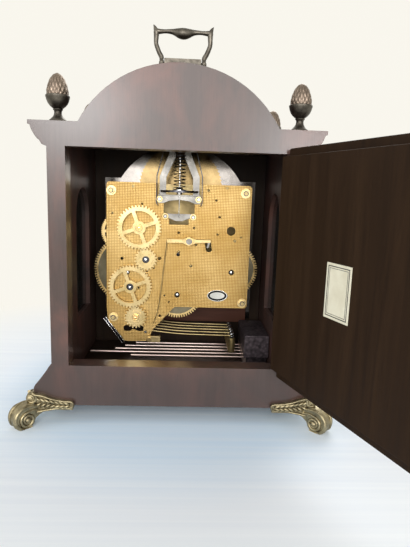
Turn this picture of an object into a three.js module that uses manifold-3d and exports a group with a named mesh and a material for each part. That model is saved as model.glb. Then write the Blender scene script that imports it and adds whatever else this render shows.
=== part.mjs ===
// Bracket clock with an arched case, an open back door and a chiming spring movement.
// Millimetres. +Z is up, the dial looks along -Y and the back door opens towards +Y.
// The origin is the centre of the base board's underside; the feet reach below it.
// "Left" and "right" are as seen by someone reading the dial.

import * as THREE from "three";
import { mergeVertices } from "three/addons/utils/BufferGeometryUtils.js";
import Module from "manifold-3d";

const wasm = await Module();
wasm.setup();

// ---------------------------------------------------------------- driving dimensions

// Case
const CASE_DEPTH = 142;            // over the front and back frames
const BACK = CASE_DEPTH / 2;       // Y of the back face
const FRONT = -CASE_DEPTH / 2;     // Y of the front face
const FRAME_T = 14;                // front and back frames
const BODY_HALF = 88.5;            // half width over the side panels
const SIDE_T = 8.5;
const BASE_T = 10;                 // base board
const SHOULDER_Z = 201;            // flat tops beside the arch
const SHOULDER_T = 8;
const ARCH_R = 77.5;               // outside of the arched roof
const ARCH_Z = 163.1;              // centre of that arc
const ROOF_T = 6;
const OPENING_HALF = 76.2;         // back opening
const OPENING_Z = [30.5, 184.8];
const GAP = 0.3;                   // between pieces that meet

// Right-hand profile of the plinth and the cornice: [x, z], upwards
const PLINTH_PROFILE = [
  [101.8, 0], [101.6, 13.4], [100.4, 15.6], [97.5, 18.8], [91.6, 27.4], [90.6, 29.2], [88.5, 31.8],
];
const CORNICE_PROFILE = [
  [88.5, 184.3], [91.6, 185.6], [93.2, 188.2], [94.4, 189.0], [96.4, 191.6], [98.2, 194.9],
  [99.2, 197.9], [100.6, 198.3], [100.6, SHOULDER_Z],
];

// Side windows, round headed
const WINDOW_HALF = 24;
const WINDOW_Z = [53.5, 134];      // sill and springing of the round head
const PANE_T = 2;

// Back door: an outer layer that laps over the frame on three sides and a raised inner panel
const DOOR_PIN = [-75.4, 73.2];    // x, y of the hinge pins
const KNUCKLE_R = 1.6;
const DOOR_OPEN = 110;             // degrees open in the modelled pose
const LAP_X = [-73.5, 81];
const LAP_Z = [26.5, 188.2];
const LAP_T = 5;
const PANEL_X = [-73.5, 74.9];
const PANEL_Z = [33.6, 182.6];
const PANEL_T = 5;
const BACK_HINGE_Z = [58, 158];
const FRONT_HINGE_Z = [58, 150];

// Break-arch outlines of the front: half width, bottom, shoulder height, arch radius
const ARCH_CENTRE_Z = 134.7;
const FRONT_OPENING = [71, 37, 171, 69.5];
const FRONT_DOOR = [80, 33, 180, 80];
const GLASS_SIGHT = [66, 47, 166, 62];
const MASK_OUTLINE = [79.5, BASE_T + GAP, 192.5, 74];
const MASK_SIGHT = [66, 42, 164, 60];
const DIAL_OUTLINE = [70, 36, 168, 64.7];
const FRONT_DOOR_T = 11.7;
const FRONT_PIN = [82.6, -73];

// Dial and hands, all about the centre arbor
const DIAL_Z = 106;
const MASK_Y = [-57, -51];
const DIAL_Y = [-51, -49.5];
const RING_R = [51.8, 61.5];
const RING_T = 1.2;
const LUNETTE = [31, 163];         // radius and centre height of the moon opening
const MOON_R = 38.5;
const MOON_Z = 161;
const MOON_Y = [-45.2, -44];
const HOUR_Y = [-54.6, -53.7];
const MINUTE_Y = [-57.2, -56.3];

// Movement plates and pillars
const BACK_PLATE_Y = [10, 12];
const FRONT_PLATE_Y = [-38, -36];
const PLATE_OUTLINE = [
  [58.8, 163.5, 4], [-59, 163.5, 4], [-59, 61.4, 4], [2, 61.4, 6], [10, 52.5, 0], [20, 41, 3],
  [24.6, 31, 3], [42.6, 30.6, 3], [57.4, 48.6, 3], [58.8, 60, 0],
];
const PILLARS = [[54.7, 156.6], [-53.8, 157.3], [52.9, 51.6], [-54.9, 66]];
const PILLAR_R = 3.2;
const DIAL_POSTS = [[50, 150], [-50, 150], [50, 60], [-50, 72]];

// Wheels: module, teeth, place (x, z)
const CHIME_MODULE = 0.88;
const CHIME_TEETH = [40, 20, 40, 20];
const CHIME_START = [32, 127.3];                 // chime gear 1
const CHIME_BEARINGS = [-102.7, -61.1, -100.5];  // degrees from each gear to the next
const CHIME_GEAR_Y = [13.6, 15.6];
const DRUM_R = 6.3;
const GREAT_MODULE = 0.7;
const CHIME_BARREL = { x: 41.5, z: 90, teeth: 84, r: 20, wheelY: -1 };
const TIME_BARREL = { x: -44.8, z: 92, teeth: 66, r: 19, wheelY: -1 };
const STRIKE_BARREL = { x: 0, z: 71.8, teeth: 60, r: 17.5, wheelY: 5.4 };
const GREAT_T = 2.2;
const BARREL_Y = [-30, -6];
const WINDING_Y = -53;             // front end of the winding squares
const SECOND_PINION_TEETH = 12;
const SECOND_BEARING = 78;         // degrees from the chime barrel to the second wheel
const SECOND_WHEEL_R = 16.3;
const SECOND_WHEEL_TEETH = 60;

// Chime rods, block and hammers
const ROD_Y = [6.5, -2, -10.5, -19, -27.5];
const ROD_END_X = [38.8, 75.4, 54.9, 47, 38];
const ROD_Z = 16.3;
const ROD_R = 1.1;
const BLOCK_X = [-79.3, -58.2];
const BLOCK_Y = [-34, 16];
const BLOCK_Z = [BASE_T, 38.6];
const HAMMER_PIVOT = [26, 39];
const HAMMER_HEAD_X = -48;
const HAMMER_HEAD_Z = [20.6, 33.6];
const HAMMER_HEAD_R = 3.1;

// Floating balance
const BALANCE_Y = 14.5;
const BALANCE_Z = 157.3;
const BALANCE_R = 15.3;
const CRADLE_TOP = 197;
const SPRING_R = 4.6;
const SPRING_WIRE_R = 0.4;
const SPRING_TURNS = 12;
const WIRE_R = 0.4;                // vertical tension wire

// Carrying handle
const HANDLE_PIVOT_Z = 257.5;
const HANDLE_EYE_X = [15.2, 18.4];
const PAD_TOP_Z = 252;

// Finials and feet
const FINIAL_PLACE = [84.2, 56];
const FOOT_DROP = 14;
const FOOT_ARM = 30;

// Surface colours
const MAHOGANY = { color: 0x6b4a3c, roughness: 0.35, metalness: 0 };
const DARK_WOOD = { color: 0x2b1c12, roughness: 0.5, metalness: 0 };
const BRASS = { color: 0xd1ac66, roughness: 0.3, metalness: 1 };
const ANTIQUE = { color: 0x7d7157, roughness: 0.45, metalness: 1 };
const BRONZE = { color: 0x8c7b71, roughness: 0.4, metalness: 1 };
const STEEL = { color: 0xb9bcc0, roughness: 0.25, metalness: 1 };
const SILVER = { color: 0xcfcfca, roughness: 0.4, metalness: 1 };
const IRON = { color: 0x4a3f42, roughness: 0.8, metalness: 0.4 };
const COPPERY = { color: 0xc9a58c, roughness: 0.3, metalness: 1 };
const GLASS = { color: 0xcfe0e6, roughness: 0.05, metalness: 0, transparent: true, opacity: 0.3 };
const BLACK = { color: 0x15151a, roughness: 0.4, metalness: 0.5 };

// ---------------------------------------------------------------- solids

const TAU = Math.PI * 2;
const radians = (degrees) => (degrees * Math.PI) / 180;

// A closed mesh as a solid, with its shared vertices welded and its faces turned outwards
function solid(geometry) {
  const bare = geometry.clone();
  bare.deleteAttribute("normal");
  bare.deleteAttribute("uv");
  const welded = mergeVertices(bare, 1e-4);
  const index = welded.index.array;
  const triangles = [];
  for (let i = 0; i < index.length; i += 3) {
    const [a, b, c] = [index[i], index[i + 1], index[i + 2]];
    if (a !== b && b !== c && c !== a) triangles.push(a, b, c);
  }
  const vertProperties = new Float32Array(welded.attributes.position.array);
  const build = (list) => new wasm.Manifold(
    new wasm.Mesh({ numProp: 3, vertProperties, triVerts: new Uint32Array(list) }),
  );
  const made = build(triangles);
  return made.volume() > 0 ? made : build(triangles.reverse());
}

function geometryOf(body) {
  const mesh = body.getMesh();
  const geometry = new THREE.BufferGeometry();
  geometry.setAttribute("position", new THREE.BufferAttribute(mesh.vertProperties, 3));
  geometry.setIndex(new THREE.BufferAttribute(mesh.triVerts, 1));
  geometry.computeVertexNormals();
  return geometry;
}

const union = (bodies) => bodies.reduce((whole, body) => whole.add(body));
const cut = (body, tools) => tools.reduce((rest, tool) => rest.subtract(tool), body);

const X_AXIS = new THREE.Vector3(1, 0, 0);
const Y_AXIS = new THREE.Vector3(0, 1, 0);
const Z_AXIS = new THREE.Vector3(0, 0, 1);

function box([x0, x1], [y0, y1], [z0, z1]) {
  const geometry = new THREE.BoxGeometry(x1 - x0, y1 - y0, z1 - z0);
  geometry.translate((x0 + x1) / 2, (y0 + y1) / 2, (z0 + z1) / 2);
  return solid(geometry);
}

// Outline points [x, z] extruded from y0 to y1
function plate(points, [y0, y1], holes = []) {
  const shape = new THREE.Shape(points.map(([x, z]) => new THREE.Vector2(x, z)));
  shape.holes = holes.map((hole) => new THREE.Path(hole.map(([x, z]) => new THREE.Vector2(x, z))));
  const geometry = new THREE.ExtrudeGeometry(shape, { depth: y1 - y0, bevelEnabled: false });
  geometry.applyMatrix4(new THREE.Matrix4().makeBasis(X_AXIS, Z_AXIS, Y_AXIS.clone().negate()));
  geometry.translate(0, y1, 0);
  return solid(geometry);
}

// Outline points [y, z] extruded from x0 to x1
function strip(points, [x0, x1]) {
  const shape = new THREE.Shape(points.map(([y, z]) => new THREE.Vector2(y, z)));
  const geometry = new THREE.ExtrudeGeometry(shape, { depth: x1 - x0, bevelEnabled: false });
  geometry.applyMatrix4(new THREE.Matrix4().makeBasis(Y_AXIS, Z_AXIS, X_AXIS));
  geometry.translate(x0, 0, 0);
  return solid(geometry);
}

// Round bar along Y, from y0 to y1, about (x, z)
function barY(x, z, r, [y0, y1], sides = 16) {
  const geometry = new THREE.CylinderGeometry(r, r, y1 - y0, sides);
  geometry.translate(x, (y0 + y1) / 2, 0);
  geometry.translate(0, 0, z);
  return solid(geometry);
}

// Turned piece about Z: profile [r, z] from the axis back to the axis
function turned(profile, [x, y], sides = 20) {
  const geometry = new THREE.LatheGeometry(profile.map(([r, z]) => new THREE.Vector2(r, z)), sides);
  geometry.rotateX(Math.PI / 2);
  geometry.translate(x, y, 0);
  return solid(geometry);
}

// Turned piece about Y: profile [r, y]
function turnedY(profile, [x, z], sides = 20) {
  const geometry = new THREE.LatheGeometry(profile.map(([r, y]) => new THREE.Vector2(r, y)), sides);
  geometry.translate(x, 0, z);
  return solid(geometry);
}

// Turned piece about X: profile [r, x]
function turnedX(profile, [y, z], sides = 12) {
  const geometry = new THREE.LatheGeometry(profile.map(([r, x]) => new THREE.Vector2(r, x)), sides);
  geometry.rotateZ(-Math.PI / 2);
  geometry.translate(0, y, z);
  return solid(geometry);
}

// Round wire through points; the radius may change along it
function wire(points, radii, sides = 6) {
  const path = points.map((point) => new THREE.Vector3(...point));
  const radiusAt = (i) => (Array.isArray(radii) ? radii[i] : radii);
  const positions = [];
  const index = [];
  let side = null;
  path.forEach((point, i) => {
    const before = path[Math.max(i - 1, 0)];
    const after = path[Math.min(i + 1, path.length - 1)];
    const along = after.clone().sub(before).normalize();
    if (!side) side = Math.abs(along.y) < 0.8 ? Y_AXIS.clone() : X_AXIS.clone();
    side = side.clone().addScaledVector(along, -side.dot(along)).normalize();
    const across = along.clone().cross(side);
    for (let k = 0; k < sides; k += 1) {
      const angle = (TAU * k) / sides;
      const ring = point.clone();
      ring.addScaledVector(side, Math.cos(angle) * radiusAt(i));
      ring.addScaledVector(across, Math.sin(angle) * radiusAt(i));
      positions.push(ring.x, ring.y, ring.z);
    }
  });
  for (let i = 0; i + 1 < path.length; i += 1) {
    for (let k = 0; k < sides; k += 1) {
      const a = i * sides + k;
      const b = i * sides + ((k + 1) % sides);
      index.push(a, b, b + sides, a, b + sides, a + sides);
    }
  }
  const last = (path.length - 1) * sides;
  for (let k = 1; k + 1 < sides; k += 1) {
    index.push(0, k + 1, k, last, last + k, last + k + 1);
  }
  const geometry = new THREE.BufferGeometry();
  geometry.setAttribute("position", new THREE.Float32BufferAttribute(positions, 3));
  geometry.setIndex(index);
  return solid(geometry);
}

// ---------------------------------------------------------------- outlines

const arc = (x, z, r, from, to, steps) => Array.from({ length: steps + 1 }, (_, i) => {
  const angle = radians(from + ((to - from) * i) / steps);
  return [x + r * Math.cos(angle), z + r * Math.sin(angle)];
});

const circle = (x, z, r, steps) => arc(x, z, r, 0, 360, steps).slice(0, steps);

// Polygon [x, z, corner radius] with its corners rounded
function rounded(corners, steps = 3) {
  const outline = [];
  corners.forEach(([x, z, r], i) => {
    const [px, pz] = corners[(i + corners.length - 1) % corners.length];
    const [nx, nz] = corners[(i + 1) % corners.length];
    if (r === 0) {
      outline.push([x, z]);
      return;
    }
    const corner = new THREE.Vector2(x, z);
    const back = new THREE.Vector2(px - x, pz - z).normalize();
    const ahead = new THREE.Vector2(nx - x, nz - z).normalize();
    const half = Math.acos(back.dot(ahead)) / 2;
    const reach = r / Math.tan(half);
    const start = corner.clone().addScaledVector(back, reach);
    const end = corner.clone().addScaledVector(ahead, reach);
    for (let k = 0; k <= steps; k += 1) {
      const t = k / steps;
      const point = start.clone().multiplyScalar((1 - t) ** 2);
      point.addScaledVector(corner, 2 * t * (1 - t));
      point.addScaledVector(end, t ** 2);
      outline.push([point.x, point.y]);
    }
  });
  return outline;
}

// Rectangle with an arched top that rises between two flat shoulders
function breakArch([half, bottom, shoulder, radius], steps = 16) {
  const spread = (Math.acos((shoulder - ARCH_CENTRE_Z) / radius) * 180) / Math.PI;
  const top = arc(0, ARCH_CENTRE_Z, radius, 90 - spread, 90 + spread, steps);
  return [[-half, bottom], [half, bottom], [half, shoulder], ...top, [-half, shoulder]];
}

function caseOutline() {
  const right = [...PLINTH_PROFILE, ...CORNICE_PROFILE];
  const spread = (Math.acos((SHOULDER_Z - ARCH_Z) / ARCH_R) * 180) / Math.PI;
  const top = arc(0, ARCH_Z, ARCH_R, 90 - spread, 90 + spread, 28);
  const left = right.map(([x, z]) => [-x, z]).reverse();
  return [...right, ...top, ...left];
}

const roundHeaded = (half, bottom, spring, steps = 10) => [
  [-half, bottom], [half, bottom], ...arc(0, spring, half, 0, 180, steps),
];

// Wheel outline with pointed teeth, a tooth pointing along the phase angle
function toothed(teeth, module, phase, addendum = 0.8, dedendum = 1.15) {
  const pitchR = (module * teeth) / 2;
  const step = 360 / teeth;
  const outline = [];
  for (let tooth = 0; tooth < teeth; tooth += 1) {
    const middle = phase + tooth * step;
    const corners = [
      [pitchR - dedendum * module, -0.3], [pitchR + addendum * module, -0.09],
      [pitchR + addendum * module, 0.09], [pitchR - dedendum * module, 0.3],
    ];
    corners.forEach(([r, share]) => {
      const angle = radians(middle + share * step);
      outline.push([r * Math.cos(angle), r * Math.sin(angle)]);
    });
  }
  return outline;
}

// Wheel outline with sharp teeth, for wheels whose pinions lie out of sight
function sharpToothed(teeth, module, phase, rootShare = 0.5) {
  const pitchR = (module * teeth) / 2;
  const step = 360 / teeth;
  const outline = [];
  for (let tooth = 0; tooth < teeth; tooth += 1) {
    const middle = phase + tooth * step;
    const roots = rootShare < 0.5 ? [-rootShare, 0, rootShare] : [-0.5, 0];
    roots.forEach((share) => {
      const r = share === 0 ? pitchR + 0.8 * module : pitchR - 1.15 * module;
      const angle = radians(middle + share * step);
      outline.push([r * Math.cos(angle), r * Math.sin(angle)]);
    });
  }
  return outline;
}

const moved = (outline, x, z) => outline.map(([a, b]) => [a + x, b + z]);

// Windows between straight spokes, as hole outlines about the origin
function spokeWindows(spokes, inner, outer, spokeHalf, phase) {
  return Array.from({ length: spokes }, (_, i) => {
    const start = phase + (i * 360) / spokes;
    const end = start + 360 / spokes;
    const trim = (r) => (Math.asin(spokeHalf / r) * 180) / Math.PI;
    const rim = arc(0, 0, outer, start + trim(outer), end - trim(outer), 6);
    const hub = arc(0, 0, inner, end - trim(inner), start + trim(inner), 3);
    return [...rim, ...hub];
  });
}

// Phase that sets a gap of the next wheel on a tooth of this one
function meshPhase(phase, teeth, bearing, nextTeeth) {
  const place = (bearing - phase) / (360 / teeth);
  return bearing + 180 - (0.5 - place) * (360 / nextTeeth);
}

// ---------------------------------------------------------------- assembly

const clock = new THREE.Group();
let nodeCount = 0;

function addPart(name, body, finish) {
  const mesh = new THREE.Mesh(geometryOf(body), new THREE.MeshStandardMaterial(finish));
  mesh.name = name;
  clock.add(mesh);
  nodeCount += 1;
  return mesh;
}

const mirrorX = (body) => body.mirror([1, 0, 0]);
const mirrorY = (body) => body.mirror([0, 1, 0]);

// ---------------------------------------------------------------- case

function makeFrames() {
  const [z0, z1] = OPENING_Z;
  const backOpening = [
    [-OPENING_HALF, z0], [OPENING_HALF, z0], [OPENING_HALF, z1], [-OPENING_HALF, z1],
  ];
  addPart("back_frame", plate(caseOutline(), [BACK - FRAME_T, BACK], [backOpening]), MAHOGANY);
  const frontOpening = breakArch(FRONT_OPENING);
  addPart("front_frame", plate(caseOutline(), [FRONT, FRONT + FRAME_T], [frontOpening]), MAHOGANY);
}

const between = [FRONT + FRAME_T, BACK - FRAME_T];  // Y span inside the two frames

function makeSides() {
  const outline = [
    [between[0], BASE_T], [between[1], BASE_T],
    [between[1], SHOULDER_Z - SHOULDER_T - GAP], [between[0], SHOULDER_Z - SHOULDER_T - GAP],
  ];
  const window = roundHeaded(WINDOW_HALF, ...WINDOW_Z);
  const opening = strip(window, [0, 100]);
  const side = strip(outline, [BODY_HALF - SIDE_T, BODY_HALF]).subtract(opening);
  addPart("right_side", side, MAHOGANY);
  addPart("left_side", mirrorX(side), MAHOGANY);
  const paneX = BODY_HALF - SIDE_T / 2;
  const paneOutline = roundHeaded(WINDOW_HALF - GAP, WINDOW_Z[0] + GAP, WINDOW_Z[1]);
  const pane = strip(paneOutline, [paneX - PANE_T / 2, paneX + PANE_T / 2]);
  addPart("right_glass", pane, GLASS);
  addPart("left_glass", mirrorX(pane), GLASS);
}

function makeMouldings() {
  const lip = [BODY_HALF + 2 * GAP, 31.8];
  const plinth = [...PLINTH_PROFILE.slice(0, -1), lip, [BODY_HALF + GAP, 31.8], [BODY_HALF + GAP, 0]];
  const plinthRight = plate(plinth, between);
  addPart("plinth_right", plinthRight, MAHOGANY);
  addPart("plinth_left", mirrorX(plinthRight), MAHOGANY);
  const underside = SHOULDER_Z - SHOULDER_T;
  const inner = ARCH_R - ROOF_T;
  const roofFoot = Math.sqrt(inner ** 2 - (SHOULDER_Z - ARCH_Z) ** 2) - 1;
  const lift = CORNICE_PROFILE.slice(1);
  const cornice = [
    [roofFoot, underside], [BODY_HALF + GAP, underside], [BODY_HALF + GAP, 184.6], ...lift,
    [roofFoot, SHOULDER_Z],
  ];
  const corniceRight = plate(cornice, between);
  addPart("cornice_right", corniceRight, MAHOGANY);
  addPart("cornice_left", mirrorX(corniceRight), MAHOGANY);
}

function makeRoofAndBase() {
  const foot = SHOULDER_Z + GAP;
  const spread = (r) => (Math.acos((foot - ARCH_Z) / r) * 180) / Math.PI;
  const inner = ARCH_R - ROOF_T;
  const outside = arc(0, ARCH_Z, ARCH_R, 90 - spread(ARCH_R), 90 + spread(ARCH_R), 28);
  const inside = arc(0, ARCH_Z, inner, 90 + spread(inner), 90 - spread(inner), 28);
  addPart("roof_arch", plate([...outside, ...inside], between), MAHOGANY);
  const half = BODY_HALF - GAP;
  addPart("base_board", box([-half, half], between, [0, BASE_T]), DARK_WOOD);
}

function makeFeet() {
  const corner = PLINTH_PROFILE[0][0];
  const armW = 12;
  const armT = 4;
  // Scroll in the diagonal plane: [distance outwards from the corner, z]
  const scroll = [
    [-17, 0], [1, 0], [3, 2.6], [6, 3.4], [9.4, 2.2], [13.4, -1.4], [16, -5.6], [16.4, -9.6],
    [14.4, -12.8], [11, -FOOT_DROP], [6.6, -FOOT_DROP], [3.4, -12], [2.2, -8.6], [-3, -6.6],
    [-10, -5], [-17, -4.4],
  ];
  const shape = new THREE.Shape(scroll.map(([d, z]) => new THREE.Vector2(d, z)));
  const width = 13;
  const geometry = new THREE.ExtrudeGeometry(shape, { depth: width, bevelEnabled: false });
  geometry.translate(0, 0, -width / 2);
  geometry.rotateX(Math.PI / 2);
  geometry.rotateZ(Math.PI / 4);
  geometry.translate(corner, BACK, 0);
  const inset = 0.8;
  const armBack = box([corner - FOOT_ARM, corner - inset], [BACK - armW, BACK - inset], [-armT, 0]);
  const armSide = box([corner - armW, corner - inset], [BACK - FOOT_ARM, BACK - inset], [-armT, 0]);
  // Arms that lie against the plinth outside, one on each face: [distance from the corner, z]
  const arm = [
    [-29.3, 0.6], [-27.8, 4.2], [-21.8, 4.6], [-13.8, 6.2], [-6.8, 9], [-2.3, 11.4], [1.7, 11],
    [4.2, 7], [3.6, 2], [2, -3], [-2, -6], [-10.1, -2.6], [-19.8, -0.6],
  ];
  const armLayer = [GAP, 3];
  const flangeBack = plate(arm.map(([d, z]) => [corner + d, z]), armLayer.map((y) => BACK + y));
  const flangeSide = strip(arm.map(([d, z]) => [BACK + d, z]), armLayer.map((x) => corner + x));
  const caseBlock = box([0, corner + GAP], [0, BACK + GAP], [0, 14]);
  const body = union([solid(geometry), armBack, armSide, flangeBack, flangeSide]);
  const foot = body.subtract(caseBlock);
  addPart("foot_back_right", foot, ANTIQUE);
  addPart("foot_back_left", mirrorX(foot), ANTIQUE);
  addPart("foot_front_right", mirrorY(foot), ANTIQUE);
  addPart("foot_front_left", mirrorX(mirrorY(foot)), ANTIQUE);
}

function makeFinials() {
  const z = SHOULDER_Z;
  const profile = [
    [0, z], [6.5, z], [6.5, z + 1.6], [3.2, z + 4.8], [3.2, z + 7], [6.6, z + 9],
    [8.2, z + 11.6], [8.2, z + 14.8], [7.2, z + 16], [7.7, z + 19], [7.6, z + 22],
    [6.8, z + 25], [5.5, z + 28], [3.6, z + 31], [1.9, z + 32.6], [0, z + 33.4],
  ];
  const [x, y] = FINIAL_PLACE;
  const places = { back_right: [x, y], back_left: [-x, y], front_right: [x, -y], front_left: [-x, -y] };
  Object.entries(places).forEach(([where, place]) => {
    addPart(`finial_${where}`, turned(profile, place, 14), BRONZE);
  });
}

// ---------------------------------------------------------------- carrying handle

function makeHandle() {
  const top = PAD_TOP_Z;
  const padOutline = [
    [-28, 225], [28, 225], [27.5, 239], [24, 241.5], [20, 245.5], [18.8, 249], [18.8, top],
    [-18.8, top], [-18.8, 249], [-20, 245.5], [-24, 241.5], [-27.5, 239],
  ];
  const roof = barY(0, ARCH_Z, ARCH_R + GAP, [-40, 40], 96);
  addPart("handle_pad", plate(padOutline, [-13, 13]).subtract(roof), MAHOGANY);
  const base = box([-18, 18], [-7, 7], [top + 0.1, top + 1.7]);
  const bridge = box([-14.6, 14.6], [-4, 4], [top + 1, HANDLE_PIVOT_Z + 3]);
  const pin = turnedX([[0, 13], [1.3, 13], [1.3, 18.9], [0, 18.9]], [0, HANDLE_PIVOT_Z]);
  addPart("handle_plate", union([base, bridge, pin, mirrorX(pin)]), ANTIQUE);
  addPart("carry_handle", makeBail(), ANTIQUE);
}

function makeBail() {
  const [near, far] = HANDLE_EYE_X;
  const z = HANDLE_PIVOT_Z;
  const leg = wire(
    [[(near + far) / 2, 0, z - 1], [17, 0, z + 4.5], [18.9, 0, z + 8], [20.5, 0, z + 12],
      [21.4, 0, z + 15], [21.2, 0, z + 19.5], [21.1, 0, z + 23], [22.3, 0, z + 26],
      [23.6, 0, z + 28]],
    [1.6, 1.5, 1.5, 1.45, 1.4, 1.75, 1.95, 1.1, 0.45], 10,
  );
  const eye = turnedX([[0, near], [3.4, near], [3.4, far], [0, far]], [0, z], 16);
  const hole = turnedX([[0, near - 1], [1.6, near - 1], [1.6, far + 1], [0, far + 1]], [0, z], 12);
  // Half of the grip, from its end to its middle: [x, z above the pivot, radius]
  const halfGrip = [
    [21.5, 23.2, 1.7], [17.5, 23.35, 1.75], [14.9, 23.5, 1.2], [10.9, 23.65, 1.5],
    [8.8, 23.5, 1.95], [6.6, 23.25, 2.6], [4.8, 22.95, 3.3], [3, 22.65, 3.9], [1.4, 22.45, 4.2],
  ];
  const stations = [
    ...halfGrip.map(([x, up, r]) => [-x, up, r]), [0, 22.4, 4.3],
    ...halfGrip.slice().reverse(),
  ];
  const grip = wire(
    stations.map(([x, up]) => [x, 0, z + up]), stations.map(([, , r]) => r), 12,
  );
  const half = leg.add(eye).subtract(hole);
  return union([half, mirrorX(half), grip]);
}

// ---------------------------------------------------------------- doors

function makeBackDoor() {
  const lap = box(LAP_X, [BACK + GAP, BACK + LAP_T], LAP_Z);
  const panel = box(PANEL_X, [BACK - PANEL_T, BACK + 1], PANEL_Z);
  const swing = (body) => {
    const atPin = body.translate([-DOOR_PIN[0], -DOOR_PIN[1], 0]);
    return atPin.rotate([0, 0, DOOR_OPEN]).translate([DOOR_PIN[0], DOOR_PIN[1], 0]);
  };
  addPart("back_door", swing(lap.add(panel)), DARK_WOOD);
  const out = BACK + LAP_T;
  const knob = turnedY(
    [[0, out], [4.6, out], [4.6, out + 0.8], [2, out + 1.8], [1.8, out + 4], [4, out + 6],
      [4.6, out + 8.4], [3, out + 10.4], [0, out + 11]],
    [LAP_X[1] - 8, 108], 16,
  );
  addPart("back_door_knob", swing(knob), BRASS);
  BACK_HINGE_Z.forEach((z, i) => {
    const [x, y] = DOOR_PIN;
    const knuckle = turned(
      [[0, z - 11], [KNUCKLE_R, z - 11], [KNUCKLE_R, z + 11], [0, z + 11]], DOOR_PIN, 12,
    );
    const leaf = box([x - 8, x - 1], [BACK + GAP, BACK + 1.3], [z - 10, z + 10]);
    const web = box([x - 1.4, x], [BACK + 0.6, y], [z - 10, z + 10]);
    addPart(`back_hinge_${i === 0 ? "lower" : "upper"}`, union([knuckle, leaf, web]), BRASS);
  });
}

function makeFrontDoor() {
  const rear = FRONT - GAP;
  const front = rear - FRONT_DOOR_T;
  const frame = plate(breakArch(FRONT_DOOR), [front, rear], [breakArch(GLASS_SIGHT)]);
  const [half, bottom, shoulder, radius] = GLASS_SIGHT;
  const rebate = [half + 2.5, bottom - 2.5, shoulder + 2.5, radius + 2.5];
  const pocket = plate(breakArch(rebate), [front + 6, rear + 1]);
  addPart("front_door", frame.subtract(pocket), MAHOGANY);
  const pane = [half + 2.2, bottom - 2.2, shoulder + 2.2, radius + 2.2];
  addPart("front_glass", plate(breakArch(pane), [front + 6.3, front + 8.3]), GLASS);
  const knob = turnedY(
    [[0, front - 11], [3.2, front - 10.4], [4.6, front - 8.2], [3.8, front - 6], [1.9, front - 4],
      [2.1, front - 1.6], [4.8, front - 0.7], [4.8, front], [0, front]],
    [-(FRONT_DOOR[0] - 7), 108], 16,
  );
  addPart("front_door_knob", knob, BRASS);
  FRONT_HINGE_Z.forEach((z, i) => {
    const knuckle = turned([[0, z - 11], [1.7, z - 11], [1.7, z + 11], [0, z + 11]], FRONT_PIN, 12);
    const leaf = box([FRONT_PIN[0], 88], [FRONT - 1.3, FRONT - GAP], [z - 10, z + 10]);
    const web = box([FRONT_PIN[0], FRONT_PIN[0] + 1.5], [FRONT_PIN[1], FRONT - 0.6], [z - 10, z + 10]);
    addPart(`front_hinge_${i === 0 ? "lower" : "upper"}`, union([knuckle, leaf, web]), BRASS);
  });
}

// ---------------------------------------------------------------- dial and hands

const barrels = [CHIME_BARREL, TIME_BARREL, STRIKE_BARREL];

function makeDial() {
  const mask = plate(breakArch(MASK_OUTLINE), MASK_Y, [breakArch(MASK_SIGHT)]);
  addPart("dial_surround", mask, DARK_WOOD);
  const windingHoles = barrels.map(({ x, z }) => circle(x, z, 3.6, 12));
  const centreHole = circle(0, DIAL_Z, 4.2, 12);
  const lunette = arc(0, LUNETTE[1], LUNETTE[0], 0, 180, 16);
  const holes = [...windingHoles, centreHole, lunette];
  const sheet = plate(breakArch(DIAL_OUTLINE, 20), [DIAL_Y[0] + 0.1, DIAL_Y[1]], holes);
  const stud = barY(0, MOON_Z, 1.5, [DIAL_Y[1] - 0.5, MOON_Y[1] + 1.4], 12);
  const collar = barY(0, MOON_Z - 1.2, 2.8, [DIAL_Y[1] - 0.5, MOON_Y[0] - GAP], 12);
  addPart("dial_plate", union([sheet, stud, collar]), SILVER);
  const ringY = [MASK_Y[1] - RING_T, MASK_Y[1]];
  const ring = plate(circle(0, DIAL_Z, RING_R[1], 48), ringY, [circle(0, DIAL_Z, RING_R[0], 48)]);
  addPart("chapter_ring", ring, SILVER);
  const saw = [];
  const points = 72;
  for (let i = 0; i < points; i += 1) {
    const start = radians((360 * i) / points);
    const end = radians((360 * (i + 0.85)) / points);
    saw.push([(MOON_R - 1.5) * Math.cos(start), (MOON_R - 1.5) * Math.sin(start)]);
    saw.push([MOON_R * Math.cos(end), MOON_R * Math.sin(end)]);
  }
  const disc = plate(moved(saw, 0, MOON_Z), MOON_Y, [circle(0, MOON_Z, 1.9, 12)]);
  addPart("moon_disc", disc, BRASS);
}

// Hand outline pointing up, with a round boss and a pierced-looking spade near the tip
function handOutline(length, bossR, stemHalf, spadeHalf) {
  const boss = arc(0, 0, bossR, 110, 430, 14);
  return [
    ...boss, [stemHalf, bossR], [stemHalf * 0.8, length * 0.58], [spadeHalf, length * 0.7],
    [spadeHalf * 0.9, length * 0.76], [stemHalf * 0.7, length * 0.84], [0, length],
    [-stemHalf * 0.7, length * 0.84], [-spadeHalf * 0.9, length * 0.76],
    [-spadeHalf, length * 0.7], [-stemHalf * 0.8, length * 0.58], [-stemHalf, bossR],
  ];
}

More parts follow.
